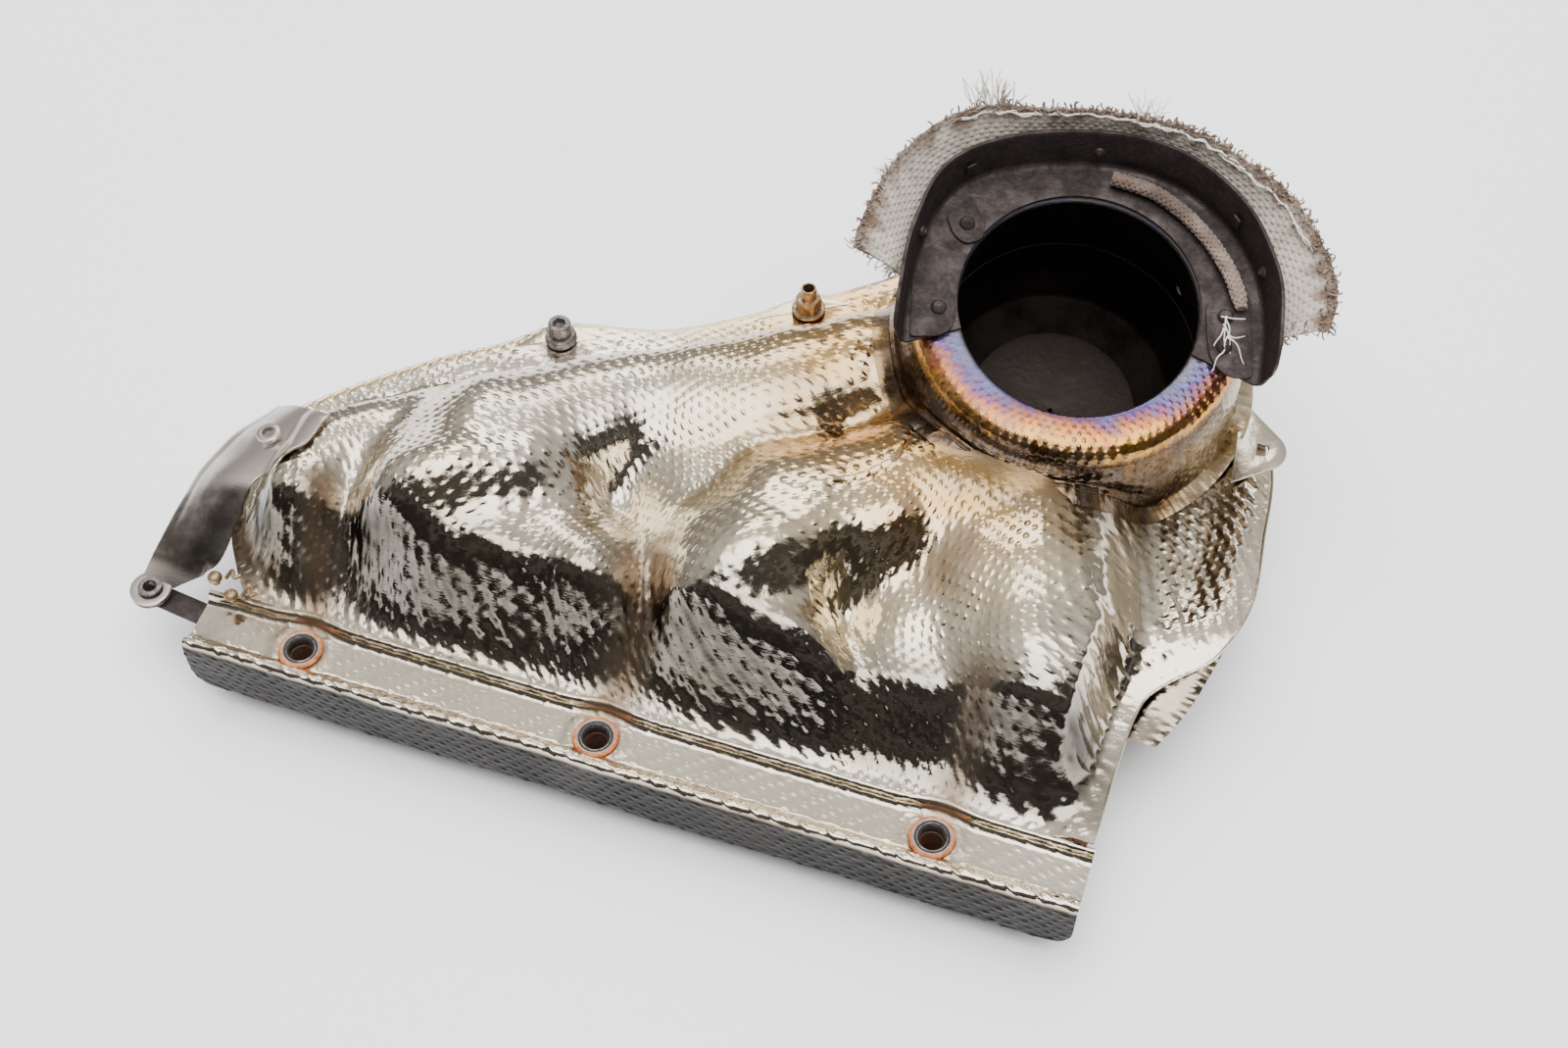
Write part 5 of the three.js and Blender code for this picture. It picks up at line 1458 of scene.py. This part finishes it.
def rivet_tree():
    """Sets a blind rivet, with its mandrel stub, on every point, along the point's own normal."""
    t, given, out = node_group("blind rivets", {
        "Geometry": ("Geometry", None), "Head radius": ("Float", 0.0033), "Head rise": ("Float", 0.0022),
        "Mandrel radius": ("Float", 0.0012), "Finish": ("Material", None)}, {"Geometry": "Geometry"},
        "GeometryNodeTree")
    dome = t.node("GeometryNodeMeshUVSphere", {"Segments": 28, "Rings": 14, "Radius": 1.0}).outputs[0]
    squash = t.vector(given["Head radius"], given["Head radius"], given["Head rise"])
    head = t.node("GeometryNodeTransform", {"Geometry": dome, "Scale": squash}).outputs[0]
    stub = t.node("GeometryNodeMeshCylinder", {
        "Vertices": 20, "Radius": given["Mandrel radius"],
        "Depth": t.times(given["Head rise"], 2.6)}).outputs[0]
    collar = t.node("GeometryNodeMeshCylinder", {
        "Vertices": 24, "Radius": t.times(given["Mandrel radius"], 1.55),
        "Depth": t.times(given["Head rise"], 2.1)}).outputs[0]
    joined = t.node("GeometryNodeJoinGeometry")
    for part in (head, stub, collar):
        t.tree.links.new(part, joined.inputs[0])
    facing = t.stored("facing", "FLOAT_VECTOR")
    turn = t.node("FunctionNodeAlignRotationToVector", {"Vector": facing}, axis="Z").outputs[0]
    t.feed(out["Geometry"], on_points(t, given, {"Instance": joined.outputs[0], "Rotation": turn}))
    return t.tree


RIVETS = rivet_tree()


def rivet_row(name, spots, facing, nodes, head=3.3, rise=2.0):
    piece = facing_points(name, spots, facing)
    use_tree(piece, RIVETS, Head_radius=head * MM, Head_rise=rise * MM, Mandrel_radius=1.2 * MM,
             Finish=BURNT)
    return place(settle(piece, 45), "burnt_bracket_steel", *nodes)


TAB_RIVETS = [(-57.4, -2.6), (-44.6, 36), (58.6, -7), (57, -20.5)]
rivet_row("tab_blind_rivets", [tower_place(x, y, PLATE_TOP + 1.5) for x, y in TAB_RIVETS], [UPWARDS] * 4,
          [f"tab_rivet_{k}" for k in range(1, 5)])


def on_wall(share, height, stand):
    """A point on the wall's inner face and the inward direction, in the part's frame."""
    point, outward = wall_at(np.array(share))
    lean = height / WALL_HEIGHT * WALL_FLARE
    spot = point + outward * (lean - stand)
    inward = -(outward[0] * SIDEWAYS + outward[1] * REARWARDS)
    return tower_place(spot[0], spot[1], PLATE_TOP + height), inward


WALL_RIVETS = [(0.17, 8), (0.5, 9), (0.83, 8.5)]
seats = [on_wall(share, height, 0.4) for share, height in WALL_RIVETS]
rivet_row("wall_blind_rivets", [seat[0] for seat in seats], [seat[1] for seat in seats],
          [f"wall_rivet_{k}" for k in range(1, 4)], 2.9, 1.8)

for number, (share, height) in enumerate([(0.3, 10), (0.74, 10)], 1):
    spot, inward = on_wall(share, height, 1.1)
    side = np.cross(UPWARDS, inward)
    outline = rounded([(-2.3, -3.5), (2.3, -3.5), (2.3, 3.5), (-2.3, 3.5)], 0.9, 4)
    points, faces = prism(outline, 0, 1.0)
    points = spot + points[:, :1] * side + points[:, 1:2] * UPWARDS + points[:, 2:] * inward
    clip = make_piece(f"wall_clip_plate_{number}", points, faces, BURNT)
    soften(clip, 0.25)
    place(settle(clip), "burnt_bracket_steel", f"wall_clip_{number}")


# ---------- collector and runners ----------
RUNNER_PATHS = [
    [(-156, 0, 12.3), (-156, 0, 21), (-154, 7, 34), (-140, 42, 34), (-98, 86, 27), (-34, 117, 26),
     (24, 150, 27), (64, 182, 30)],
    [(-52, 0, 12.3), (-52, 0, 20), (-56, 9, 35), (-76, 38, 56), (-80, 64, 64), (-54, 97, 65),
     (-16, 124, 65), (28, 150, 65), (62, 172, 64)],
    [(52, 0, 12.3), (52, 0, 20), (50, 9, 35), (42, 40, 56), (50, 80, 62), (70, 118, 62), (88, 144, 62)],
    [(156, 0, 12.3), (156, 0, 20), (154, 9, 33), (148, 42, 51), (140, 88, 60), (134, 120, 61),
     (131, 138, 61)],
]
RUNNER_LINES = [smooth_line(path, 90) for path in RUNNER_PATHS]
RUNNER_RADIUS, RUNNER_BORE, RUNNER_CUT = 17, 15.4, 16.6
for number, line in enumerate(RUNNER_LINES, 1):
    runner = make_piece(f"runner_tube_{number}", *tube(line, RUNNER_RADIUS, 40, inner=RUNNER_BORE),
                        BARE_STEEL)
    place(settle(runner), "bare_manifold_steel", f"runner_{number}")


def outside_runners(points):
    """Whether each point is clear of every runner, where the collector's wall is cut open for it."""
    clear = np.ones(len(points), bool)
    for line in RUNNER_LINES:
        for start in range(0, len(line), 3):
            clear &= np.linalg.norm(points - line[start], axis=1) > RUNNER_CUT
    return clear


def collector(name, profile, node):
    """A turned half of the collector, opened where the runners enter."""
    line = []
    for (r0, z0), (r1, z1) in zip(profile, profile[1:]):
        steps = max(1, int(math.hypot(r1 - r0, z1 - z0) / 1.6))
        line += [(mix(r0, r1, k / steps), mix(z0, z1, k / steps)) for k in range(steps)]
    line.append(profile[-1])
    line = np.array(line)
    columns = 200
    angle = np.linspace(0, 2 * math.pi, columns, endpoint=False)
    r, z = line[:, :1], line[:, 1:]
    points = tower_place(r * np.cos(angle), r * np.sin(angle), np.broadcast_to(z, (len(line), columns)))
    faces = grid_faces(len(line), columns, wrap=True)
    middle = points.reshape(-1, 3)[faces].mean(1)
    faces = faces[outside_runners(middle)]
    piece = make_piece(name, points, faces, SOOT)
    thicken(piece, 1.4)
    settle(piece)
    return place(piece, "sooted_steel", node)


collector("collector_neck_half", [(62, -51.6), (58.0, -51.4), (57.0, -42), (53.2, -26), (53.2, -4.4)],
          "collector_upper")
collector("collector_pot_half", [(1.2, -105), (38, -102), (52.5, -90), (57.4, -74), (57.4, -52.4),
                                 (62, -52.2)], "collector_lower")


def seam_bead(name, height, tilt, radius, size, start, stop):
    """A rough weld bead round part of the collector's inside, on a plane that leans a little."""
    a = np.linspace(math.radians(start), math.radians(stop), 260)
    r = radius + 0.5 * ripple(a * 50, a * 0, 81, 30)
    z = height + tilt * np.sin(a) + 0.6 * ripple(a * 50, a * 0, 82, 22)
    path = tower_place(r * np.cos(a), r * np.sin(a), z)
    width = size * (1 + 0.25 * ripple(a * 60, a * 0, 83, 9))
    points, faces = tube(path, width, 10, 0.7)
    piece = make_piece(name, points, faces, SOOT, {"bead": np.full(len(points), 1.0)})
    return place(settle(piece), "sooted_steel")


seam_bead("seam_bead_upper", -33, 6, 54.2, 0.9, 20, 150)
seam_bead("seam_bead_lower", -36.5, 6, 55.2, 1.1, 12, 158)


# ---------- braided rope seal ----------
ROPE_POINTS = [(16, 56, 5.4), (33, 49, 5.4), (47, 36.5, 5.4), (57.5, 20.5, 5.6), (63, 5.5, 6.2),
               (64.5, -5, 6.8)]


def rope_seal():
    """Braid of twelve strands, six each way round, over a soft core."""
    line = smooth_line(ROPE_POINTS, 150)
    line = tower_place(line[:, 0], line[:, 1], line[:, 2])
    across, upright = frames_along(line)
    length = np.linspace(0, 1, len(line))
    taper = 1 - 0.25 * smoothstep(0.93, 1.0, length)
    core_sides, strand_sides, strands, turns = 14, 6, 6, 5.5
    parts = [tube(line, 2.2 * taper, core_sides)]
    for way in (-1, 1):
        for k in range(strands):
            a = 2 * math.pi * (way * turns * length + k / strands)
            lift = 0.28 * np.sin(2 * math.pi * turns * strands * length + (way + 1) * math.pi / 2 + k * 0.8)
            reach = (2.45 + lift) * taper
            sideways, upwards = np.cos(a) * reach * 1.12, np.sin(a) * reach * 0.8
            path = line + across * sideways[:, None] + upright * upwards[:, None]
            parts.append(tube(path, 0.62 * taper, strand_sides))
    points, faces = gather(parts)
    share = np.concatenate([np.repeat(length, core_sides)] + [np.repeat(length, strand_sides)]
                           * (2 * strands))
    piece = make_piece("braided_seal", points, faces, ROPE,
                       {"burn": 0.75 * (1 - smoothstep(0.25, 0.8, share))})
    return place(settle(piece, 60), "woven_rope", "rope_seal")


rope_seal()


# ---------- cloth collar ----------
CLOTH_FLARE = [(0, 6), (0.12, 20), (0.26, 14), (0.5, 4), (0.68, 8), (0.84, 20), (0.93, 17), (1, 6)]
CLOTH_HEIGHT = [(0, 10), (0.12, 16), (0.26, 24), (0.5, 24), (0.72, 22), (0.85, 18), (1, 10)]
CLOTH_SPAN = (0.1, 0.93)
CLOTH_LOW = 5
THREAD = 2.3
WOVEN_LENGTH, WOVEN_HEIGHT, WOVEN_DRIFT = 345, 29, 6
WALL_RUN = 330


def cloth_place(share, up):
    """Point on the middle of the cloth at a share of the wall's length, up from its lower edge."""
    point, outward = wall_at(share)
    flare, height = through(CLOTH_FLARE, share), through(CLOTH_HEIGHT, share)
    fold = 1.3 * ripple(share * WALL_RUN, up * 14, 91, 52) * up
    out = 4.6 + flare * up ** 1.4 + fold
    edge = 0.9 * ripple(share * WALL_RUN, share * 0, 92, 9) * up
    spot = point + outward * out[..., None]
    return spot[..., 0], spot[..., 1], CLOTH_LOW + (height + edge) * up


def cloth_collar():
    """Plain-woven glass cloth standing round the bracket, scorched along its upper edge."""
    columns, rows = 640, 52
    u, v = np.meshgrid(np.linspace(*CLOTH_SPAN, columns), np.linspace(0, 1, rows))
    x, y, z = cloth_place(u, v)
    points = tower_place(x, y, z)
    warp, weft = u * WOVEN_LENGTH / THREAD, v * WOVEN_HEIGHT / THREAD + u * WOVEN_DRIFT
    run, rise = np.gradient(points, axis=1), np.gradient(points, axis=0)
    normal = np.cross(run, rise)
    normal /= np.linalg.norm(normal, axis=-1, keepdims=True)
    relief = 0.2 * np.sin(warp * math.pi) * np.sin(weft * math.pi)
    points = points + normal * relief[..., None]
    burn = smoothstep(0.62, 0.98, v + 0.12 * ripple(u * WALL_RUN, v * 30, 93, 18)) * 0.9 + 0.08
    piece = make_piece("cloth_collar_weave", points, grid_faces(rows, columns), CLOTH, {"burn": burn})
    layer = piece.data.uv_layers.new(name="threads")
    corners = np.zeros(len(piece.data.loops), np.int32)
    piece.data.loops.foreach_get("vertex_index", corners)
    threads = np.stack([warp.ravel(), weft.ravel()], -1)
    layer.data.foreach_set("uv", threads[corners].ravel())
    thicken(piece, 1.0, 0)
    settle(piece, 70)
    return place(piece, "woven_cloth", "cloth_collar")


def fringe_tree():
    """Short curled thread ends standing out of every point, each turned and sized at random."""
    t, given, out = node_group("thread fringe", {
        "Geometry": ("Geometry", None), "Length": ("Float", 0.005), "Thickness": ("Float", 0.0004),
        "Spread": ("Float", 0.7), "Seed": ("Int", 7), "Finish": ("Material", None)},
        {"Geometry": "Geometry"}, "GeometryNodeTree")
    middle = t.vector(t.times(given["Length"], 0.55), 0.0, t.times(given["Length"], 0.7))
    tip = t.vector(t.times(given["Length"], 0.1), t.times(given["Length"], 0.35), given["Length"])
    arc = t.node("GeometryNodeCurveQuadraticBezier",
                 {"Resolution": 7, "Start": (0, 0, 0), "Middle": middle, "End": tip}).outputs[0]
    ring = t.node("GeometryNodeCurvePrimitiveCircle",
                  {"Resolution": 5, "Radius": given["Thickness"]}).outputs[0]
    thread = t.node("GeometryNodeCurveToMesh",
                    {"Curve": arc, "Profile Curve": ring, "Fill Caps": True}).outputs[0]
    facing = t.stored("facing", "FLOAT_VECTOR")
    sway = t.node("FunctionNodeRandomValue", data_type="FLOAT_VECTOR")
    t.feed(sway.inputs["Min"], (-1, -1, -1))
    t.feed(sway.inputs["Max"], (1, 1, 1))
    t.feed(sway.inputs["Seed"], given["Seed"])
    loose = t.node("ShaderNodeVectorMath", {0: sway.outputs[0], "Scale": given["Spread"]},
                   operation="SCALE").outputs[0]
    aim = t.node("ShaderNodeVectorMath", {0: facing, 1: loose}, operation="ADD").outputs[0]
    turn = t.node("FunctionNodeAlignRotationToVector", {"Vector": aim}, axis="Z").outputs[0]
    roll = t.node("FunctionNodeRandomValue", data_type="FLOAT")
    grow = t.node("FunctionNodeRandomValue", data_type="FLOAT")
    for number, (low, high, shift) in zip((roll, grow), ((0.0, 6.28, 11), (0.45, 1.25, 23))):
        socket = {s.identifier: s for s in number.inputs}
        t.feed(socket["Min_001"], low)
        t.feed(socket["Max_001"], high)
        seed = t.node("FunctionNodeIntegerMath", {0: given["Seed"], 1: shift}, operation="ADD").outputs[0]
        t.feed(number.inputs["Seed"], seed)
    spin = t.vector(0.0, 0.0, roll.outputs[1])
    spun = t.node("FunctionNodeRotateRotation", {"Rotation": turn, "Rotate By": spin},
                  rotation_space="LOCAL").outputs[0]
    t.feed(out["Geometry"], on_points(t, given, {
        "Instance": thread, "Rotation": spun, "Scale": grow.outputs[1]}))
    return t.tree


FRINGE_TREE = fringe_tree()


def fringe(name, share, up, finish, length, thick, spread, seed, lift=(0.4, 0.9)):
    """Thread ends along a line on the cloth; lift is how far they lean outward and stand up."""
    x, y, z = cloth_place(share, up)
    spots = tower_place(x, y, z)
    outward = wall_at(share)[1]
    facing = (lift[0] * (outward[:, :1] * SIDEWAYS + outward[:, 1:] * REARWARDS) + lift[1] * UPWARDS)
    piece = facing_points(name, spots, facing)
    burn = piece.data.attributes.new("burn", "FLOAT", "POINT")
    burn.data.foreach_set("value", np.full(len(spots), 0.5, np.float32))
    use_tree(piece, FRINGE_TREE, Length=length * MM, Thickness=thick * MM, Spread=spread, Seed=seed,
             Finish=finish)
    return place(settle(piece, 80), "woven_cloth")


def loose_threads(name, starts, directions, lengths, thick, finish, seed, curl=0.35, burn=0.0):
    """Frayed threads, each a bent tapering tube from its start point along its direction."""
    random = np.random.default_rng(seed)
    parts = []
    for start, direction, length in zip(starts, directions, lengths):
        steps = np.linspace(0, 1, 14)[:, None]
        side = random.normal(size=3)
        side -= direction * (side @ direction)
        other = np.cross(direction, side)
        wave = random.uniform(1.5, 4.0)
        path = (start + direction * steps * length + side * length * curl * 0.35 * steps**1.6
                + other * length * curl * 0.12 * np.sin(steps * wave * 2))
        parts.append(tube(path, thick * (1.0 - 0.45 * steps[:, 0]), 5))
    points, faces = gather(parts)
    piece = make_piece(name, points, faces, finish, {"burn": np.full(len(points), burn)})
    return place(settle(piece, 80), "woven_cloth")


TUFT_SPREAD = 0.45


def tuft(name, share, up, count, length, outwards, finish, seed):
    """A bunch of frayed threads at one place on the cloth's edge."""
    random = np.random.default_rng(seed)
    where = share + random.uniform(-0.012, 0.012, count)
    x, y, z = cloth_place(where, np.full(count, up))
    starts = tower_place(x, y, z)
    aim = np.array(outwards, float)
    directions = aim + random.normal(scale=TUFT_SPREAD, size=(count, 3))
    directions /= np.linalg.norm(directions, axis=1)[:, None]
    lengths = length * random.uniform(0.55, 1.0, count)
    return loose_threads(name, starts, directions, lengths, 0.32, finish, seed, burn=0.1)


def inner_yarns():
    """Pale yarns that have come loose along the cloth's upper edge on its inner side."""
    random = np.random.default_rng(57)
    parts = []
    for first, last, up, lift in (
            (0.42, 0.60, 0.93, 0.5), (0.55, 0.70, 0.90, 0.8), (0.66, 0.83, 0.86, 0.6),
            (0.30, 0.41, 0.92, 0.4)):
        share = np.linspace(first, last, 40)
        x, y, z = cloth_place(share, np.full(40, up))
        outward = wall_at(share)[1]
        wave = 1.1 * ripple(share * WALL_RUN, share * 0, int(random.integers(1000)), 22)
        inset = 1.6 + wave
        path = tower_place(x - outward[:, 0] * inset, y - outward[:, 1] * inset, z + lift + 0.8 * wave)
        strand = 0.7 * np.column_stack([np.sin(share * 260), np.cos(share * 220), np.sin(share * 190)])
        parts += [tube(path, 0.42, 6), tube(path + strand, 0.3, 5)]
    points, faces = gather(parts)
    piece = make_piece("loose_pale_yarns", points, faces, PALE_THREAD)
    return place(settle(piece, 80), "woven_cloth")


collar = cloth_collar()
RIM_THREADS, LOOP_THREADS, SIDE_THREADS = 620, 330, 70
shaggy = np.random.default_rng(17)
rim_share = np.linspace(*CLOTH_SPAN, RIM_THREADS) + shaggy.uniform(-0.002, 0.002, RIM_THREADS)
soft_parts = [
    fringe("edge_fringe", np.clip(rim_share, *CLOTH_SPAN), shaggy.uniform(0.86, 1.0, RIM_THREADS),
           FRINGE, 3.0, 0.34, 0.9, 7),
    fringe("edge_loops", np.linspace(0.36, 0.92, LOOP_THREADS), shaggy.uniform(0.8, 0.99, LOOP_THREADS),
           FRINGE, 2.4, 0.42, 1.3, 19),
    fringe("side_fray_left", CLOTH_SPAN[0] + shaggy.uniform(0, 0.006, SIDE_THREADS),
           shaggy.uniform(0, 1, SIDE_THREADS), PALE_THREAD, 4.2, 0.27, 1.2, 27, (0.9, 0.0)),
    fringe("side_fray_right", CLOTH_SPAN[1] - shaggy.uniform(0, 0.006, SIDE_THREADS),
           shaggy.uniform(0, 1, SIDE_THREADS), FRINGE, 3.6, 0.27, 1.2, 29, (0.9, 0.0)),
    tuft("tuft_left", 0.335, 0.97, 22, 17, (-0.25, 0.5, 0.55), PALE_THREAD, 61),
    tuft("tuft_left_dark", 0.36, 0.97, 14, 13, (0.1, 0.6, 0.5), FRINGE, 63),
    tuft("tuft_rear", 0.555, 0.98, 16, 12, (0.0, 0.6, 0.5), PALE_THREAD, 65),
    tuft("tuft_side", 0.22, 0.95, 12, 9, (-0.9, 0.1, 0.1), PALE_THREAD, 67),
    inner_yarns(),
]


def caught_fluff():
    """A torn scrap of thread caught on the right tab's rivets."""
    random = np.random.default_rng(71)
    count = 9
    starts = tower_place(
        random.uniform(56, 60, count), random.uniform(-21, -7, count), random.uniform(5.6, 6.6, count))
    aims = random.normal(size=(count, 2))
    directions = np.array([a * SIDEWAYS * 0.7 - abs(b) * REARWARDS for a, b in aims])
    directions /= np.linalg.norm(directions, axis=1)[:, None]
    lengths = random.uniform(6, 13, count)
    return loose_threads("caught_threads", starts, directions, lengths, 0.38, PALE_THREAD, 73, 0.6)


caught_fluff()

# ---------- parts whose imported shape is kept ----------
flange_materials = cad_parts["head_flange"].data.materials
flange_materials.clear()
flange_materials.append(BARE_STEEL)


# ---------- camera, floor and light ----------
def add_camera():
    data = bpy.data.cameras.new("camera")
    data.lens = 50
    data.sensor_width = 36
    data.clip_start, data.clip_end = 0.01, 50
    camera = bpy.data.objects.new("camera", data)
    turn = Matrix((CAMERA_RIGHT, CAMERA_UP, CAMERA_BACK)).transposed()
    camera.matrix_world = Matrix.Translation(CAMERA_PLACE) @ turn.to_4x4()
    bpy.context.scene.collection.objects.link(camera)
    bpy.context.scene.camera = camera


def add_floor():
    material, t, shader = new_material("floor_white", 0.0, 0.6)
    cloud = t.noise(t.place(), 1.4, 2)
    t.feed(shader.inputs["Base Color"], t.ramp(cloud,
                                               [(0.3, (0.80, 0.81, 0.83)), (0.7, (0.84, 0.85, 0.87))]))
    size, z = 5000, -0.3
    corners = [(-size, -size, z), (size, -size, z), (size, size, z), (-size, size, z)]
    floor = make_piece("floor", corners, [(0, 1, 2, 3)], material)


def add_light(name, spot, aim, size, power, glossy=True):
    """A soft rectangular lamp; where glossy is off, polished metal doesn't mirror it."""
    data = bpy.data.lights.new(name, "AREA")
    data.shape = "RECTANGLE"
    data.size, data.size_y = size
    data.energy = power
    light = bpy.data.objects.new(name, data)
    light.location = spot
    light.visible_glossy = glossy
    light.rotation_mode = "QUATERNION"
    light.rotation_quaternion = (Vector(aim) - Vector(spot)).to_track_quat("-Z", "Y")
    bpy.context.scene.collection.objects.link(light)


CEILING_AIM = (0.09, -0.17, 0.981)
FRONT_AIM = (0.42, -0.908)
ROOM_STRENGTH = 1.35


def add_room():
    """Studio round the object: a bright ceiling, a softly lit rear and a dark side behind the camera."""
    world = bpy.data.worlds.new("studio")
    bpy.context.scene.world = world
    world.use_nodes = True
    t = Tree(world.node_tree)
    ray = t.node("ShaderNodeTexCoord").outputs["Generated"]
    spot = t.node("ShaderNodeSeparateXYZ", {0: ray}).outputs
    front = t.plus(t.times(spot[0], FRONT_AIM[0]), t.times(spot[1], FRONT_AIM[1]))
    behind_camera = t.ramp(spot[2], [
        (0.0, (0.03, 0.027, 0.025)), (0.30, (0.035, 0.032, 0.03)), (0.42, (0.13, 0.125, 0.12)),
        (0.56, (0.05, 0.047, 0.045)),
        (0.76, (0.06, 0.056, 0.053)), (0.87, (0.42, 0.41, 0.40)), (0.96, (0.8, 0.79, 0.78))])
    rear = t.ramp(spot[2], [(0.0, (0.14, 0.13, 0.12)), (0.18, (0.28, 0.27, 0.26)),
                            (0.5, (0.46, 0.45, 0.44)),
                            (0.8, (0.66, 0.65, 0.64)), (0.95, (0.9, 0.9, 0.9))])
    colour = t.blend(t.range(front, 0.02, 0.34), rear, behind_camera)
    zenith = t.node("ShaderNodeVectorMath", {0: ray, 1: CEILING_AIM},
                    operation="DOT_PRODUCT").outputs["Value"]
    colour = t.blend(t.range(zenith, 0.84, 0.95), colour, (3.4, 3.4, 3.45, 1))
    background = world.node_tree.nodes["Background"]
    t.feed(background.inputs["Color"], colour)
    background.inputs["Strength"].default_value = ROOM_STRENGTH


add_camera()
add_floor()
add_room()
add_light("rear_softbox", (-0.5, 1.7, 1.5), (0.0, 0.1, 0.0), (1.2, 0.8), 12)
add_light("overhead_fill", (0.1, 0.2, 2.2), (0.0, 0.1, 0.0), (2.4, 2.0), 105, glossy=False)
